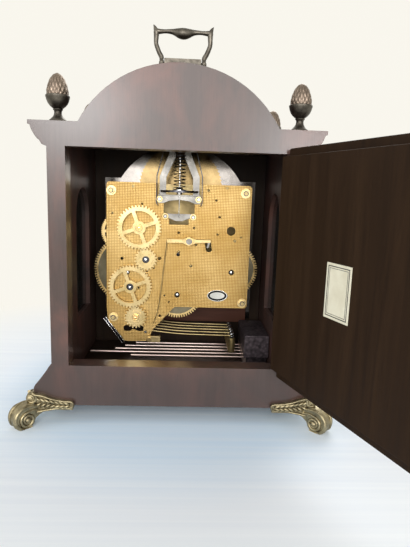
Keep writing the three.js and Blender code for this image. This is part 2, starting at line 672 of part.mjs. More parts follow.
function makeHands() {
  const hand = (outline, degrees, span) => {
    const flat = plate(outline, span);
    return flat.rotate([0, degrees, 0]).translate([0, 0, DIAL_Z]);
  };
  const pipe = barY(0, DIAL_Z, 3, [HOUR_Y[0], FRONT_PLATE_Y[0] - 1]);
  const pipeBore = barY(0, DIAL_Z, 1.9, [HOUR_Y[0] - 1, FRONT_PLATE_Y[1]]);
  const hour = hand(handOutline(38, 5, 1.5, 4.2), 305, HOUR_Y).add(pipe).subtract(pipeBore);
  addPart("hour_hand", hour, BLACK);
  const arbor = barY(0, DIAL_Z, 1.3, [MINUTE_Y[0] - 1.6, BACK_PLATE_Y[1] + 0.5], 12);
  const nut = barY(0, DIAL_Z, 2.6, [MINUTE_Y[0] - 1.2, MINUTE_Y[1]], 8);
  const minute = hand(handOutline(56, 4, 1.3, 3.2), 60, MINUTE_Y);
  addPart("minute_hand", union([minute, arbor, nut]), BLACK);
}

// ---------------------------------------------------------------- movement frame

const gearPlaces = CHIME_BEARINGS.reduce((places, bearing, i) => {
  const [x, z] = places[i];
  const distance = (CHIME_MODULE * (CHIME_TEETH[i] + CHIME_TEETH[i + 1])) / 2;
  const angle = radians(bearing);
  return [...places, [x + distance * Math.cos(angle), z + distance * Math.sin(angle)]];
}, [CHIME_START]);

const secondPlace = (() => {
  const distance = (GREAT_MODULE * (CHIME_BARREL.teeth + SECOND_PINION_TEETH)) / 2;
  const angle = radians(SECOND_BEARING);
  return [CHIME_BARREL.x + distance * Math.cos(angle), CHIME_BARREL.z + distance * Math.sin(angle)];
})();

const pivotHoles = [
  ...barrels.map(({ x, z }) => [x, z, 1.9]),
  ...gearPlaces.map(([x, z]) => [x, z, 1.6]),
  [...secondPlace, 1.3],
  [...HAMMER_PIVOT, 1.3],
  [0, DIAL_Z, 1.6],
];

function makePlates() {
  const outline = rounded(PLATE_OUTLINE);
  const notch = plate([[-17.2, 152.5], [17.2, 152.5], [17.2, 170], [-17.2, 170]], [5, 20]);
  const lowerNotch = plate([[-12.6, 139.6], [12.6, 139.6], [12.6, 153], [-12.6, 153]], [5, 20]);
  const slot = plate([[-8, 130.6], [8, 130.6], [8, 135.8], [-8, 135.8]], [5, 20]);
  const keyhole = barY(-43.2, 126.5, 3.6, [5, 20]);
  // The lever's pin shows through this slot
  const leverSlot = plate([[-22.6, 119.6], [-26.6, 119.6], [-27.4, 110], [-23.4, 110]], [5, 20]);
  const drumSlots = [[31, 42.6], [41.2, 42.5]].map(([x, z]) => barY(x, z, 3.2, [5, 20], 12));
  const bores = pivotHoles.map(([x, z, r]) => barY(x, z, r, [5, 20], 10));
  const pillarBores = PILLARS.map(([x, z]) => barY(x, z, 1.8, [5, 20], 10));
  const sheet = plate(outline, BACK_PLATE_Y);
  const openings = [notch, lowerNotch, slot, keyhole, leverSlot, ...drumSlots];
  const back = cut(sheet, [...openings, ...bores, ...pillarBores]);
  addPart("back_plate", back, BRASS);

  const front = plate(outline, FRONT_PLATE_Y);
  const frontBores = pivotHoles.map(([x, z, r]) => barY(x, z, r + 1, [-45, -30], 8));
  const pillars = PILLARS.flatMap(([x, z]) => [
    barY(x, z, PILLAR_R, [FRONT_PLATE_Y[1] - 0.5, BACK_PLATE_Y[0] - GAP], 12),
    barY(x, z, 1.5, [BACK_PLATE_Y[0] - 2, BACK_PLATE_Y[1] + 3.4], 8),
  ]);
  const posts = DIAL_POSTS.map(([x, z]) => (
    barY(x, z, 2.5, [DIAL_Y[1] + GAP, FRONT_PLATE_Y[0] + 0.5], 10)
  ));
  addPart("front_plate", union([cut(front, frontBores), ...pillars, ...posts]), BRASS);
}

// ---------------------------------------------------------------- wheels

function wheelBody(outline, [x, z], span, windows = []) {
  return plate(moved(outline, x, z), span, windows.map((window) => moved(window, x, z)));
}

function makeChimeGears() {
  const phases = [0];
  for (let i = 0; i < 3; i += 1) {
    phases.push(meshPhase(phases[i], CHIME_TEETH[i], CHIME_BEARINGS[i], CHIME_TEETH[i + 1]));
  }
  gearPlaces.forEach(([x, z], i) => {
    const large = CHIME_TEETH[i] > 30;
    const windows = large ? spokeWindows(4, 6.2, 13.4, 1.5, -20) : [];
    const outline = toothed(CHIME_TEETH[i], CHIME_MODULE, phases[i]);
    const wheel = wheelBody(outline, [x, z], CHIME_GEAR_Y, windows);
    const hub = barY(x, z, large ? 2.9 : 3.4, [CHIME_GEAR_Y[0] - 0.8, CHIME_GEAR_Y[1] + 1]);
    const arbor = barY(x, z, 1.25, [BACK_PLATE_Y[0] - 6, CHIME_GEAR_Y[1] + 1.8], 12);
    if (i < 3) {
      addPart(`chime_gear_${i + 1}`, union([wheel, hub, arbor]), BRASS);
      return;
    }
    const drum = barY(x, z, DRUM_R, [-34, 8], 20);
    const shaft = barY(x, z, 1.25, [FRONT_PLATE_Y[0] - 0.6, BACK_PLATE_Y[0]], 12);
    const lugs = ROD_Y.flatMap((y, row) => [0, 1, 2, 3].map((k) => {
      const angle = radians(k * 90 + row * 18 + 130);
      const lugX = x + (DRUM_R + 0.2) * Math.cos(angle);
      return barY(lugX, z + (DRUM_R + 0.2) * Math.sin(angle), 0.8, [y - 0.8, y + 0.8], 6);
    }));
    addPart("chime_drum", union([wheel, hub, arbor, shaft, drum, ...lugs]), BRASS);
  });
}

function makeBarrel(name, { x, z, teeth, r, wheelY }, rootShare) {
  const outline = sharpToothed(teeth, GREAT_MODULE, 0, rootShare);
  const wheel = wheelBody(outline, [x, z], [wheelY - GREAT_T, wheelY]);
  const drum = barY(x, z, r, BARREL_Y, 24);
  const arbor = barY(x, z, 2.2, [FRONT_PLATE_Y[1], BACK_PLATE_Y[0] - 0.8], 12);
  const pivot = barY(x, z, 1.5, [0, BACK_PLATE_Y[1] + 1], 12);
  const square = barY(x, z, 2.3, [WINDING_Y, FRONT_PLATE_Y[1] + 1], 4);
  addPart(name, union([wheel, drum, arbor, pivot, square]), BRASS);
}

function makeTrain() {
  makeBarrel("chime_barrel", CHIME_BARREL, 0.3);
  makeBarrel("time_barrel", TIME_BARREL, 0.5);
  makeBarrel("strike_barrel", STRIKE_BARREL, 0.5);
  const [x, z] = secondPlace;
  const y = CHIME_BARREL.wheelY;
  const phase = meshPhase(0, CHIME_BARREL.teeth, SECOND_BEARING, SECOND_PINION_TEETH);
  const leaves = toothed(SECOND_PINION_TEETH, GREAT_MODULE, phase);
  const pinion = wheelBody(leaves, [x, z], [y - 6, y + 3]);
  const windows = spokeWindows(4, 4.6, SECOND_WHEEL_R - 3, 1.2, 0);
  const rim = sharpToothed(SECOND_WHEEL_TEETH, (2 * SECOND_WHEEL_R - 0.8) / SECOND_WHEEL_TEETH, 0);
  const wheel = wheelBody(rim, [x, z], [y + 2.8, y + 4.2], windows);
  const arbor = barY(x, z, 1, [FRONT_PLATE_Y[0] - 0.5, BACK_PLATE_Y[1] + 0.5], 10);
  addPart("chime_second_wheel", union([pinion, wheel, arbor]), BRASS);
}

// ---------------------------------------------------------------- floating balance

function makeBalance() {
  const z = BALANCE_Z;
  const outer = rounded([
    [13.6, CRADLE_TOP, 3], [-13.6, CRADLE_TOP, 3], [-13.9, 188, 0], [-19.2, 170, 0],
    [-19.2, 146.6, 1.5], [-10.5, 146.6, 0], [-8, 148.3, 0], [0, 149.3, 0], [8, 148.3, 0],
    [10.5, 146.6, 0], [19.2, 146.6, 1.5], [19.2, 170, 0], [13.9, 188, 0],
  ]);
  const inner = rounded([
    [9.6, CRADLE_TOP - 4, 1.5], [-9.6, CRADLE_TOP - 4, 1.5], [-10.4, 187, 0], [-15.9, 169, 0],
    [-15.9, 154.4, 1], [15.9, 154.4, 1], [15.9, 169, 0], [10.4, 187, 0],
  ]);
  const y = [BALANCE_Y - 2, BALANCE_Y + 2];
  const frame = plate(outer, y, [inner]);
  const legs = [-1, 1].map((side) => (
    box(side > 0 ? [12.9, 14.6] : [-14.6, -12.9], [y[0], y[0] + 1.5], [133, 148])
  ));
  const lower = box([-14.6, 14.6], [y[0], y[0] + 1.5], [136.2, 139.2]);
  const foot = box([-1.6, 1.6], y, [136.2, 139]);
  const tension = turned(
    [[0, 136.4], [WIRE_R, 136.4], [WIRE_R, CRADLE_TOP - 2], [0, CRADLE_TOP - 2]],
    [0, BALANCE_Y], 8,
  );
  // The wire crosses the arched bar through a bore
  const bore = turned([[0, 140], [1, 140], [1, 156], [0, 156]], [0, BALANCE_Y], 8);
  const cradle = union([frame.subtract(bore), ...legs, lower, foot]).add(tension);
  addPart("balance_cradle", cradle, STEEL);

  const rimFace = circle(0, 0, BALANCE_R, 32);
  const sectors = spokeWindows(2, 4.4, BALANCE_R - 2.6, 1.5, 0);
  const lying = (body) => body.rotate([90, 0, 0]).translate([0, BALANCE_Y, z]);
  const rim = lying(plate(rimFace, [-0.8, 0.8], sectors));
  const collet = turned(
    [[0, z - 2.4], [2.2, z - 2.4], [2.2, z], [5.4, z], [5.4, z + 1.6], [2.2, z + 1.6],
      [2, z + 3.4], [0, z + 3.4]],
    [0, BALANCE_Y], 16,
  );
  const wheelBore = turned([[0, z - 5], [1, z - 5], [1, z + 5], [0, z + 5]], [0, BALANCE_Y], 8);
  addPart("balance_wheel", union([rim, collet]).subtract(wheelBore), BRASS);
  addPart("hairspring", makeHairspring(), STEEL);
}

// One unbroken coil from the balance's collet up to the cradle's top bar
function makeHairspring() {
  const steps = 8;
  const lead = 2 * SPRING_WIRE_R;
  const bottom = BALANCE_Z + 1.6 + GAP;
  const first = bottom + lead;
  const top = CRADLE_TOP - 4 - GAP;
  const points = [[SPRING_R, BALANCE_Y, bottom]];
  const count = SPRING_TURNS * steps;
  const rise = top - lead - first;
  for (let i = 0; i <= count; i += 1) {
    const angle = (TAU * i) / steps;
    const height = first + (rise * i) / count;
    points.push([SPRING_R * Math.cos(angle), BALANCE_Y + SPRING_R * Math.sin(angle), height]);
  }
  points.push([SPRING_R, BALANCE_Y, top]);
  reportLeastGap(points, steps);
  return wire(points, SPRING_WIRE_R, 5);
}

// Least distance between turns that do not follow each other along the wire
function reportLeastGap(points, steps) {
  let least = Infinity;
  for (let i = 0; i < points.length; i += 1) {
    for (let k = i + Math.floor(steps / 2); k < points.length; k += 1) {
      const distance = new THREE.Vector3(...points[i]).distanceTo(new THREE.Vector3(...points[k]));
      least = Math.min(least, distance - 2 * SPRING_WIRE_R);
    }
  }
  console.log(`hairspring least gap ${least.toFixed(2)} mm`);
}

function makeRearLever() {
  const [x, z] = [-8.8, 117.3];
  const y = [14.2, 15.6];
  const bar = plate([[9.4, 118.6], [-26.5, 118.9], [-26.5, 116.2], [9.4, 115.8]], y);
  const boss = barY(x, z, 3.2, [y[0] - 1, y[1] + 1.2]);
  const stud = barY(x, z, 1.2, [BACK_PLATE_Y[1] + GAP, y[1]], 10);
  const pin = plate([[-23.8, 116.6], [-26.3, 117.2], [-24.6, 110.6], [-22.6, 111]], y);
  addPart("rear_lever", union([bar, boss, stud, pin]), BRASS);
}

// ---------------------------------------------------------------- chime

function makeChime() {
  const blank = box(BLOCK_X, BLOCK_Y, BLOCK_Z);
  const recess = box([BLOCK_X[1] - 3, BLOCK_X[1] + 1], [-31, 10], [12.2, 21]);
  const step = box([BLOCK_X[0] - 1, BLOCK_X[1] + 1], [BLOCK_Y[1] - 7, BLOCK_Y[1] + 1], [5, 19]);
  addPart("chime_block", cut(blank, [recess, step]), IRON);
  const headerX = [BLOCK_X[1] - 2.7, BLOCK_X[1] - GAP];
  const header = box(headerX, [-30.7, 9.7], [12.5, 20.7]);
  const rods = ROD_Y.map((y, i) => {
    const geometry = new THREE.CylinderGeometry(ROD_R, ROD_R, ROD_END_X[i] - headerX[1] + 1, 8);
    geometry.rotateZ(Math.PI / 2);
    geometry.translate((ROD_END_X[i] + headerX[1] - 1) / 2, y, ROD_Z);
    return solid(geometry);
  });
  addPart("chime_rods", union([header, ...rods]), COPPERY);

  const [px, pz] = HAMMER_PIVOT;
  const span = [FRONT_PLATE_Y[1] + GAP, BACK_PLATE_Y[0] - GAP];
  const shaft = barY(px, pz, 1.6, span, 12);
  const ends = barY(px, pz, 0.95, [FRONT_PLATE_Y[0] - 0.4, BACK_PLATE_Y[1] + 0.4], 10);
  addPart("hammer_arbor", shaft.add(ends), STEEL);

  const [drumX, drumZ] = gearPlaces[3];
  const reach = Math.hypot(drumX - px, drumZ - pz);
  const tailR = reach - DRUM_R - 2.2;
  const tail = [px + ((drumX - px) * tailR) / reach, pz + ((drumZ - pz) * tailR) / reach];
  ROD_Y.forEach((y, i) => {
    const [low, high] = HAMMER_HEAD_Z;
    const x = HAMMER_HEAD_X;
    const r = HAMMER_HEAD_R;
    const head = turned(
      [[0, low], [r - 0.5, low], [r, low + 0.6], [r, high], [1.9, high + 0.4], [1.9, high + 3],
        [1.2, high + 3.8], [0, high + 4]],
      [x, y], 14,
    );
    const arm = wire(
      [[px - 1.8, y, pz], [px - 14, y, pz - 1.6], [px - 44, y, high + 2.6], [x, y, high + 1.6]],
      0.85, 6,
    );
    const spur = wire([[px + 1, y, pz + 1.6], [tail[0], y, tail[1]]], 0.9, 6);
    const hub = barY(px, pz, 3, [y - 1.9, y + 1.9], 14);
    const bore = barY(px, pz, 1.95, [y - 3, y + 3], 12);
    addPart(`chime_hammer_${i + 1}`, union([head, arm, spur, hub]).subtract(bore), BRASS);
  });
}

makeFrames();
makeSides();
makeMouldings();
makeRoofAndBase();
makeFeet();
makeFinials();
makeHandle();
makeBackDoor();
makeFrontDoor();
makeDial();
makeHands();
makePlates();
makeChimeGears();
makeTrain();
makeBalance();
makeRearLever();
makeChime();
console.log(`${nodeCount} sub-parts`);

export default clock;
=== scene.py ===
"""Bracket clock with its back door open on a chiming movement (Blender 4.5).

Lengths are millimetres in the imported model's frame, and are turned into metres when a mesh is made.
+Z is up, the dial looks along -Y and the photograph looks in from the open back, along -Y.
"""
from math import acos, asin, cos, degrees, hypot, radians, sin, sqrt, tan, tau as TAU

import bmesh
import bpy
from mathutils import Matrix, Vector
from mathutils.geometry import tessellate_polygon

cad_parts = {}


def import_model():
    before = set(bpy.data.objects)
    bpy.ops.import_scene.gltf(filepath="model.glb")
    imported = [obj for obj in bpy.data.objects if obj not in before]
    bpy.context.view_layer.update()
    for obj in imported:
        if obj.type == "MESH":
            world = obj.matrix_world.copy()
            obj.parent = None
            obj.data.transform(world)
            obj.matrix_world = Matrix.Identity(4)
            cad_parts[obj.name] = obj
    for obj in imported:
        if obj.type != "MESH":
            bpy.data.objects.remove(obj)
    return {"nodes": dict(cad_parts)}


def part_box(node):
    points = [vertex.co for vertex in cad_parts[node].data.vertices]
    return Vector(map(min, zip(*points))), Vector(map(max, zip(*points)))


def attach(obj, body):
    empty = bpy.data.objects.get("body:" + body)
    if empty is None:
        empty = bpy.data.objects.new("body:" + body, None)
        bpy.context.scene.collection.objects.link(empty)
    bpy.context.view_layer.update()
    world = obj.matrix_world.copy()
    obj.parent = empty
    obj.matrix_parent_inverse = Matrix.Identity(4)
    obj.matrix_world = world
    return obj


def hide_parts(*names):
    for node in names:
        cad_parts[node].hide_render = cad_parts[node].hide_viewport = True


MM = 0.001

# ---- driving values

# Photograph: 410 x 547 pixels, taken from behind the clock
IMAGE_WIDTH = 410
FOCAL_PIXELS = 468.49
CAMERA_AT = (-6.68, 396.97, 157.69)
CAMERA_YAW, CAMERA_PITCH, CAMERA_ROLL = 2.403, 9.878, 1.938

FLOOR_Z = -14.0
BACKDROP = (0.95, 0.925, 0.85)  # linear colour of the plain pale wall
BACK = 71.0  # Y of the case's back face
PLATE = 12.0  # Y of the movement's back face
GEAR_Y = (13.6, 15.6)
DOOR_PIN = (-75.4, 73.2)
DOOR_OPEN = radians(110)
DIAL_Z = 106.0
DIAL_FRONT = -52.2  # Y of the chapter ring's front face

CHIME_MODULE = 0.88
CHIME_TEETH = (40, 20, 40, 20)
CHIME_START = (32.0, 127.3)
CHIME_BEARINGS = (-102.7, -61.1, -100.5)
PILLARS = ((54.7, 156.6), (-53.8, 157.3), (52.9, 51.6), (-54.9, 66.0))
ROD_Y = (6.5, -2.0, -10.5, -19.0, -27.5)
HAMMER_PIVOT = (26.0, 39.0)
HAMMER_X = -48.0
HAMMER_Z = (20.6, 33.6)
BALANCE_Y = 14.5
BALANCE_Z = 157.3
BARRELS = {"chime": (41.5, 90.0), "time": (-44.8, 92.0), "strike": (0.0, 71.8)}

SECOND_WHEEL = (48.49, 122.87)
LEVER = (-8.8, 117.3)
BADGE = (-33.7, 72.0)
FINIAL = (84.2, 56.0)
FOOT_X = 101.8
HANDLE_PIVOT_Z = 257.5

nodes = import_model()["nodes"]
scene = bpy.context.scene
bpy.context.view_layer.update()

# ---- shapes: (vertices, faces)


def ring_arc(x, z, r, start, end, steps):
    """Points [x, z] on an arc, both ends included; degrees."""
    angles = [radians(start + (end - start) * i / steps) for i in range(steps + 1)]
    return [(x + r * cos(a), z + r * sin(a)) for a in angles]


def circle(x, z, r, steps=24):
    return ring_arc(x, z, r, 0, 360, steps)[:-1]


def oval(x, z, rx, rz, steps=40):
    return [(x + rx * cos(TAU * i / steps), z + rz * sin(TAU * i / steps)) for i in range(steps)]


def rounded(corners, steps=6):
    """Polygon of (x, z, corner radius) with its corners rounded."""
    outline = []
    for i, (x, z, r) in enumerate(corners):
        here = Vector((x, z))
        before = Vector(corners[i - 1][:2])
        after = Vector(corners[(i + 1) % len(corners)][:2])
        if r == 0:
            outline.append((x, z))
            continue
        back = (before - here).normalized()
        ahead = (after - here).normalized()
        half = acos(max(-1.0, min(1.0, back.dot(ahead)))) / 2
        reach = r / tan(half)
        start, end = here + back * reach, here + ahead * reach
        for k in range(steps + 1):
            t = k / steps
            p = start * (1 - t) ** 2 + here * 2 * t * (1 - t) + end * t ** 2
            outline.append((p.x, p.y))
    return outline


def prism(outline, y0, y1, holes=()):
    """Outline [x, z] and its holes, extruded along Y."""
    loops = [list(outline)] + [list(h) for h in holes]
    flat = [Vector((x, z, 0)) for loop in loops for x, z in loop]
    count = len(flat)
    triangles = tessellate_polygon([[Vector((x, z, 0)) for x, z in loop] for loop in loops])
    vertices = [(p.x, y0, p.y) for p in flat] + [(p.x, y1, p.y) for p in flat]
    faces = [tuple(t) for t in triangles] + [tuple(i + count for i in reversed(t)) for t in triangles]
    first = 0
    for loop in loops:
        n = len(loop)
        for i in range(n):
            a, b = first + i, first + (i + 1) % n
            faces.append((a, b, b + count, a + count))
        first += n
    return vertices, faces


def skin(rings, sides):
    """Faces over rings of vertices, one ring after the other, with both ends closed."""
    faces = []
    for i in range(rings - 1):
        for k in range(sides):
            a, b = i * sides + k, i * sides + (k + 1) % sides
            faces.append((a, b, b + sides, a + sides))
    last = (rings - 1) * sides
    return faces + [tuple(range(sides)), tuple(reversed(range(last, last + sides)))]


def turned(profile, centre, axis, sides, ripple=None):
    """Profile [r, height] turned about an axis; ripple(angle, height) scales the radius."""
    vertices = []
    for r, h in profile:
        for k in range(sides):
            a = TAU * k / sides
            rr = r * (ripple(a, h) if ripple else 1)
            u, v = centre[0] + rr * cos(a), centre[1] + rr * sin(a)
            vertices.append({"X": (h, u, v), "Y": (u, h, v), "Z": (u, v, h)}[axis])
    return vertices, skin(len(profile), sides)


def bar(x, z, r, y0, y1, sides=24, chamfer=0.0):
    """Round bar along Y."""
    c = min(chamfer, r * 0.6)
    profile = [(r - c, y0), (r, y0 + c), (r, y1 - c), (r - c, y1)] if c else [(r, y0), (r, y1)]
    return turned(profile, (x, z), "Y", sides)


def block(xs, ys, zs):
    vertices = [(x, y, z) for x in xs for y in ys for z in zs]
    faces = [(0, 1, 3, 2), (4, 6, 7, 5), (0, 4, 5, 1), (2, 3, 7, 6), (0, 2, 6, 4), (1, 5, 7, 3)]
    return vertices, faces


def smooth_path(points, per=6):
    """Catmull-Rom curve through the points."""
    pts = [Vector(p) for p in points]
    pts = [2 * pts[0] - pts[1]] + pts + [2 * pts[-1] - pts[-2]]
    path = []
    for i in range(1, len(pts) - 2):
        p0, p1, p2, p3 = pts[i - 1:i + 3]
        for k in range(per):
            t = k / per
            path.append(0.5 * (2 * p1 + (p2 - p0) * t + (2 * p0 - 5 * p1 + 4 * p2 - p3) * t ** 2
                               + (3 * p1 - p0 - 3 * p2 + p3) * t ** 3))
    return path + [pts[-2]]


def tube(points, radius, sides=12):
    """Closed tube along points; radius is a number or a function of the share of the way along."""
    path = [Vector(p) for p in points]
    vertices = []
    side = None
    n = len(path)
    for i, p in enumerate(path):
        along = (path[min(i + 1, n - 1)] - path[max(i - 1, 0)]).normalized()
        if side is None:
            side = Vector((0, 1, 0)) if abs(along.y) < 0.8 else Vector((1, 0, 0))
        side = (side - along * side.dot(along)).normalized()
        across = along.cross(side)
        r = radius(i / (n - 1)) if callable(radius) else radius
        for k in range(sides):
            a = TAU * k / sides
            vertices.append(tuple(p + side * cos(a) * r + across * sin(a) * r))
    return vertices, skin(n, sides)


def joined(*shapes):
    vertices, faces = [], []
    for v, f in shapes:
        first = len(vertices)
        vertices.extend(v)
        faces.extend(tuple(i + first for i in face) for face in f)
    return vertices, faces


def placed(shape, matrix):
    return [tuple(matrix @ Vector(v)) for v in shape[0]], shape[1]


def mirrored(shape, x=1, y=1):
    return [(v[0] * x, v[1] * y, v[2]) for v in shape[0]], shape[1]


def gear_outline(teeth, module, phase=0.0, addendum=0.85, dedendum=1.15):
    """Wheel outline with rounded, slightly pointed teeth."""
    pitch_r = module * teeth / 2
    step = 360 / teeth
    corners = ((-dedendum, -0.31), (-0.1, -0.235), (0.5 * addendum, -0.13), (addendum, -0.045),
               (addendum, 0.045), (0.5 * addendum, 0.13), (-0.1, 0.235), (-dedendum, 0.31))
    outline = []
    for tooth in range(teeth):
        for height, share in corners:
            a = radians(phase + (tooth + share) * step)
            r = pitch_r + height * module
            outline.append((r * cos(a), r * sin(a)))
    return outline


def spoke_windows(spokes, inner, outer, half, phase):
    windows = []
    for i in range(spokes):
        start, end = phase + i * 360 / spokes, phase + (i + 1) * 360 / spokes
        rim, hub = degrees(asin(half / outer)), degrees(asin(half / inner))
        windows.append(ring_arc(0, 0, outer, start + rim, end - rim, 14)
                       + ring_arc(0, 0, inner, end - hub, start + hub, 6))
    return windows


def shifted(outline, x, z):
    return [(a + x, b + z) for a, b in outline]


def raised(profile, base):
    """Profile (r, height) with its heights counted from base."""
    return [(r, base + h) for r, h in profile]


def both_sides(half):
    """Outline that is the same left and right, from either half, listed from its outer end inwards."""
    return half + [(-x, z) for x, z in reversed(half)]


def between(values):
    """Radius along a tube, interpolated between evenly spaced values."""
    def radius(t):
        place = t * (len(values) - 1)
        i = min(int(place), len(values) - 2)
        return values[i] + (values[i + 1] - values[i]) * (place - i)
    return radius


def wire(points, per, radii, sides):
    """Smooth tube; per is the number of steps between two points, radii its evenly spaced radii."""
    return tube(smooth_path(points, per), between(radii), sides)


def spiral(cx, cz, r0, r1, start, turns, steps=40):
    points = []
    for i in range(steps + 1):
        t = i / steps
        r = r0 + (r1 - r0) * t ** 0.85
        a = radians(start) + TAU * turns * t
        points.append((cx + r * cos(a), cz + r * sin(a)))
    return points


# ---- pieces


def add_bevel(obj, width):
    bevel = obj.modifiers.new("edge", "BEVEL")
    bevel.width = width * MM
    bevel.segments = 2
    bevel.limit_method = "ANGLE"
    bevel.angle_limit = radians(35)
    bevel.harden_normals = True


def piece(name, shape, material, body="clock_case", bevel=0.0, smooth=38.0,
          stands_for=None):
    """A mesh that rides on one body; it may stand for a CAD node."""
    vertices, faces = shape
    mesh = bpy.data.meshes.new(name)
    mesh.from_pydata([tuple(c * MM for c in v) for v in vertices], [], faces)
    build = bmesh.new()
    build.from_mesh(mesh)
    bmesh.ops.remove_doubles(build, verts=build.verts, dist=1e-7)
    bmesh.ops.recalc_face_normals(build, faces=build.faces)
    build.to_mesh(mesh)
    build.free()
    mesh.materials.append(material)
    mesh.shade_smooth()
    mesh.set_sharp_from_angle(angle=radians(smooth))
    obj = bpy.data.objects.new(name, mesh)
    scene.collection.objects.link(obj)
    if bevel:
        add_bevel(obj, bevel)
    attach(obj, body)
    if stands_for:
        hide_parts(stands_for)


def dress(name, material, bevel=0.0, smooth=38.0):
    """Gives a CAD node its material, rounded edges and smooth curves."""
    obj = nodes[name]
    obj.data.materials.clear()
    obj.data.materials.append(material)
    obj.modifiers.new("weld", "WELD").merge_threshold = 1e-6
    obj.data.shade_smooth()
    if bevel:
        add_bevel(obj, bevel)
    obj.modifiers.new("crisp", "EDGE_SPLIT").split_angle = radians(smooth)
    if bevel:
        obj.modifiers.new("even", "WEIGHTED_NORMAL").weight = 100


def door_turn():
    """From the back door's closed place to its open one."""
    pin = Vector((DOOR_PIN[0], DOOR_PIN[1], 0))
    return Matrix.Translation(pin) @ Matrix.Rotation(DOOR_OPEN, 4, "Z") @ Matrix.Translation(-pin)


# ---- materials


class Shader:
    """A principled material that is built up node by node."""

    def __init__(self, name, **sockets):
        self.material = bpy.data.materials.new(name)
        self.material.use_nodes = True
        self.tree = self.material.node_tree
        self.base = self.tree.nodes["Principled BSDF"]
        for key, value in sockets.items():
            self.base.inputs[key.replace("_", " ")].default_value = value
        self.place = self.add("ShaderNodeTexCoord").outputs["Object"]

    def add(self, kind, **values):
        node = self.tree.nodes.new(kind)
        for key, value in values.items():
            if hasattr(node, key):
                setattr(node, key, value)
            else:
                node.inputs[key.replace("_", " ")].default_value = value
        return node

    def link(self, output, target):
        self.tree.links.new(output, target)

    def feed(self, value, target):
        """Links an output to a socket, or sets the socket to a plain value."""
        if hasattr(value, "links"):
            self.link(value, target)
        else:
            target.default_value = value

    def scaled(self, scale):
        node = self.add("ShaderNodeMapping")
        node.inputs["Scale"].default_value = scale
        self.link(self.place, node.inputs["Vector"])
        return node.outputs["Vector"]

    def noise(self, scale, detail=4.0, rough=0.55, distortion=0.0):
        node = self.add("ShaderNodeTexNoise", Scale=1.0, Detail=detail, Roughness=rough,
                        Distortion=distortion)
        scale = scale if isinstance(scale, tuple) else (scale,) * 3
        self.link(self.scaled(scale), node.inputs["Vector"])
        return node.outputs["Fac"]

    def ramp(self, value, stops):
        node = self.add("ShaderNodeValToRGB")
        while len(node.color_ramp.elements) < len(stops):
            node.color_ramp.elements.new(0.5)
        for element, (position, color) in zip(node.color_ramp.elements, stops):
            element.position = position
            element.color = (*color, 1)
        self.link(value, node.inputs["Fac"])
        return node.outputs["Color"]

    def span(self, value, low, high, start=0.3, end=0.7):
        node = self.add("ShaderNodeMapRange", From_Min=start, From_Max=end, To_Min=low, To_Max=high)
        self.link(value, node.inputs["Value"])
        return node.outputs["Result"]

    def mix(self, factor, a, b):
        node = self.add("ShaderNodeMix", data_type="RGBA")
        self.feed(factor, node.inputs[0])
        for color, target in ((a, 6), (b, 7)):
            self.feed(color if hasattr(color, "links") else (*color, 1), node.inputs[target])
        return node.outputs[2]

    def math(self, operation, a, b=0.0):
        node = self.add("ShaderNodeMath", operation=operation)
        self.feed(a, node.inputs[0])
        self.feed(b, node.inputs[1])
        return node.outputs[0]

    def color(self, output):
        self.link(output, self.base.inputs["Base Color"])

    def roughness(self, output):
        self.link(output, self.base.inputs["Roughness"])

    def bump(self, height, distance, strength=0.5):
        node = self.add("ShaderNodeBump", Strength=strength, Distance=distance * MM)
        self.link(height, node.inputs["Height"])
        self.link(node.outputs["Normal"], self.base.inputs["Normal"])


def wood(name, tones, grain, coat=0.6, coat_roughness=0.12, roughness=0.35, specular=0.25, patches=0.0):
    """Lacquered wood with its grain along one axis; patches makes it blotchy, and darker low down as painted
    shade.
    """
    made = Shader(name, Roughness=roughness, Coat_Weight=coat, Coat_Roughness=coat_roughness,
                  Specular_IOR_Level=specular)
    across, along = 130.0, 7.0
    stretch = tuple(along if axis == grain else across for axis in "XYZ")
    fine = tuple(60.0 if axis == grain else 2400.0 for axis in "XYZ")
    figure = made.noise(stretch, detail=6.0, rough=0.62, distortion=0.9)
    pores = made.noise(fine, detail=2.0, rough=0.7)
    broad = made.noise(11.0, detail=2.0)
    dark, middle, light = tones
    base = made.ramp(figure, [(0.28, dark), (0.5, middle), (0.74, light)])
    shaded = made.mix(made.span(broad, 0.0, 0.55), base, middle)
    if patches:
        blotches = made.noise((26.0, 26.0, 17.0), detail=3.0, rough=0.6, distortion=0.6)
        reddish = [c * k for c, k in zip(light, (1.6, 1.05, 0.9))]
        shaded = made.mix(made.span(blotches, 0.0, patches, 0.42, 0.66), shaded, reddish)
        # Painted shade: the colour darkens towards the bottom 5 cm, standing in for the dimmer light and
        # sheen low on the case.
        height = made.add("ShaderNodeSeparateXYZ")
        made.link(made.place, height.inputs[0])
        shaded = made.mix(made.span(height.outputs["Z"], 0.6, 0.0, 0.012, 0.05), shaded, dark)
    made.color(made.mix(made.span(pores, 0.0, 0.5, 0.56, 0.7), shaded, dark))
    made.roughness(made.span(figure, roughness - 0.06, roughness + 0.1))
    made.bump(pores, 0.05, 0.35)
    return made.material


def metal(name, low, high, roughness=(0.2, 0.35), scale=60.0, bump=0.0):
    """Metal whose tone and polish vary a little over the surface."""
    made = Shader(name, Metallic=1.0)
    cloud = made.noise(scale, detail=5.0)
    made.color(made.mix(made.span(cloud, 0.0, 1.0, 0.32, 0.68), low, high))
    made.roughness(made.span(made.noise(scale * 3, detail=3.0), *roughness))
    if bump:
        made.bump(made.noise(900.0, detail=3.0), bump)
    return made.material


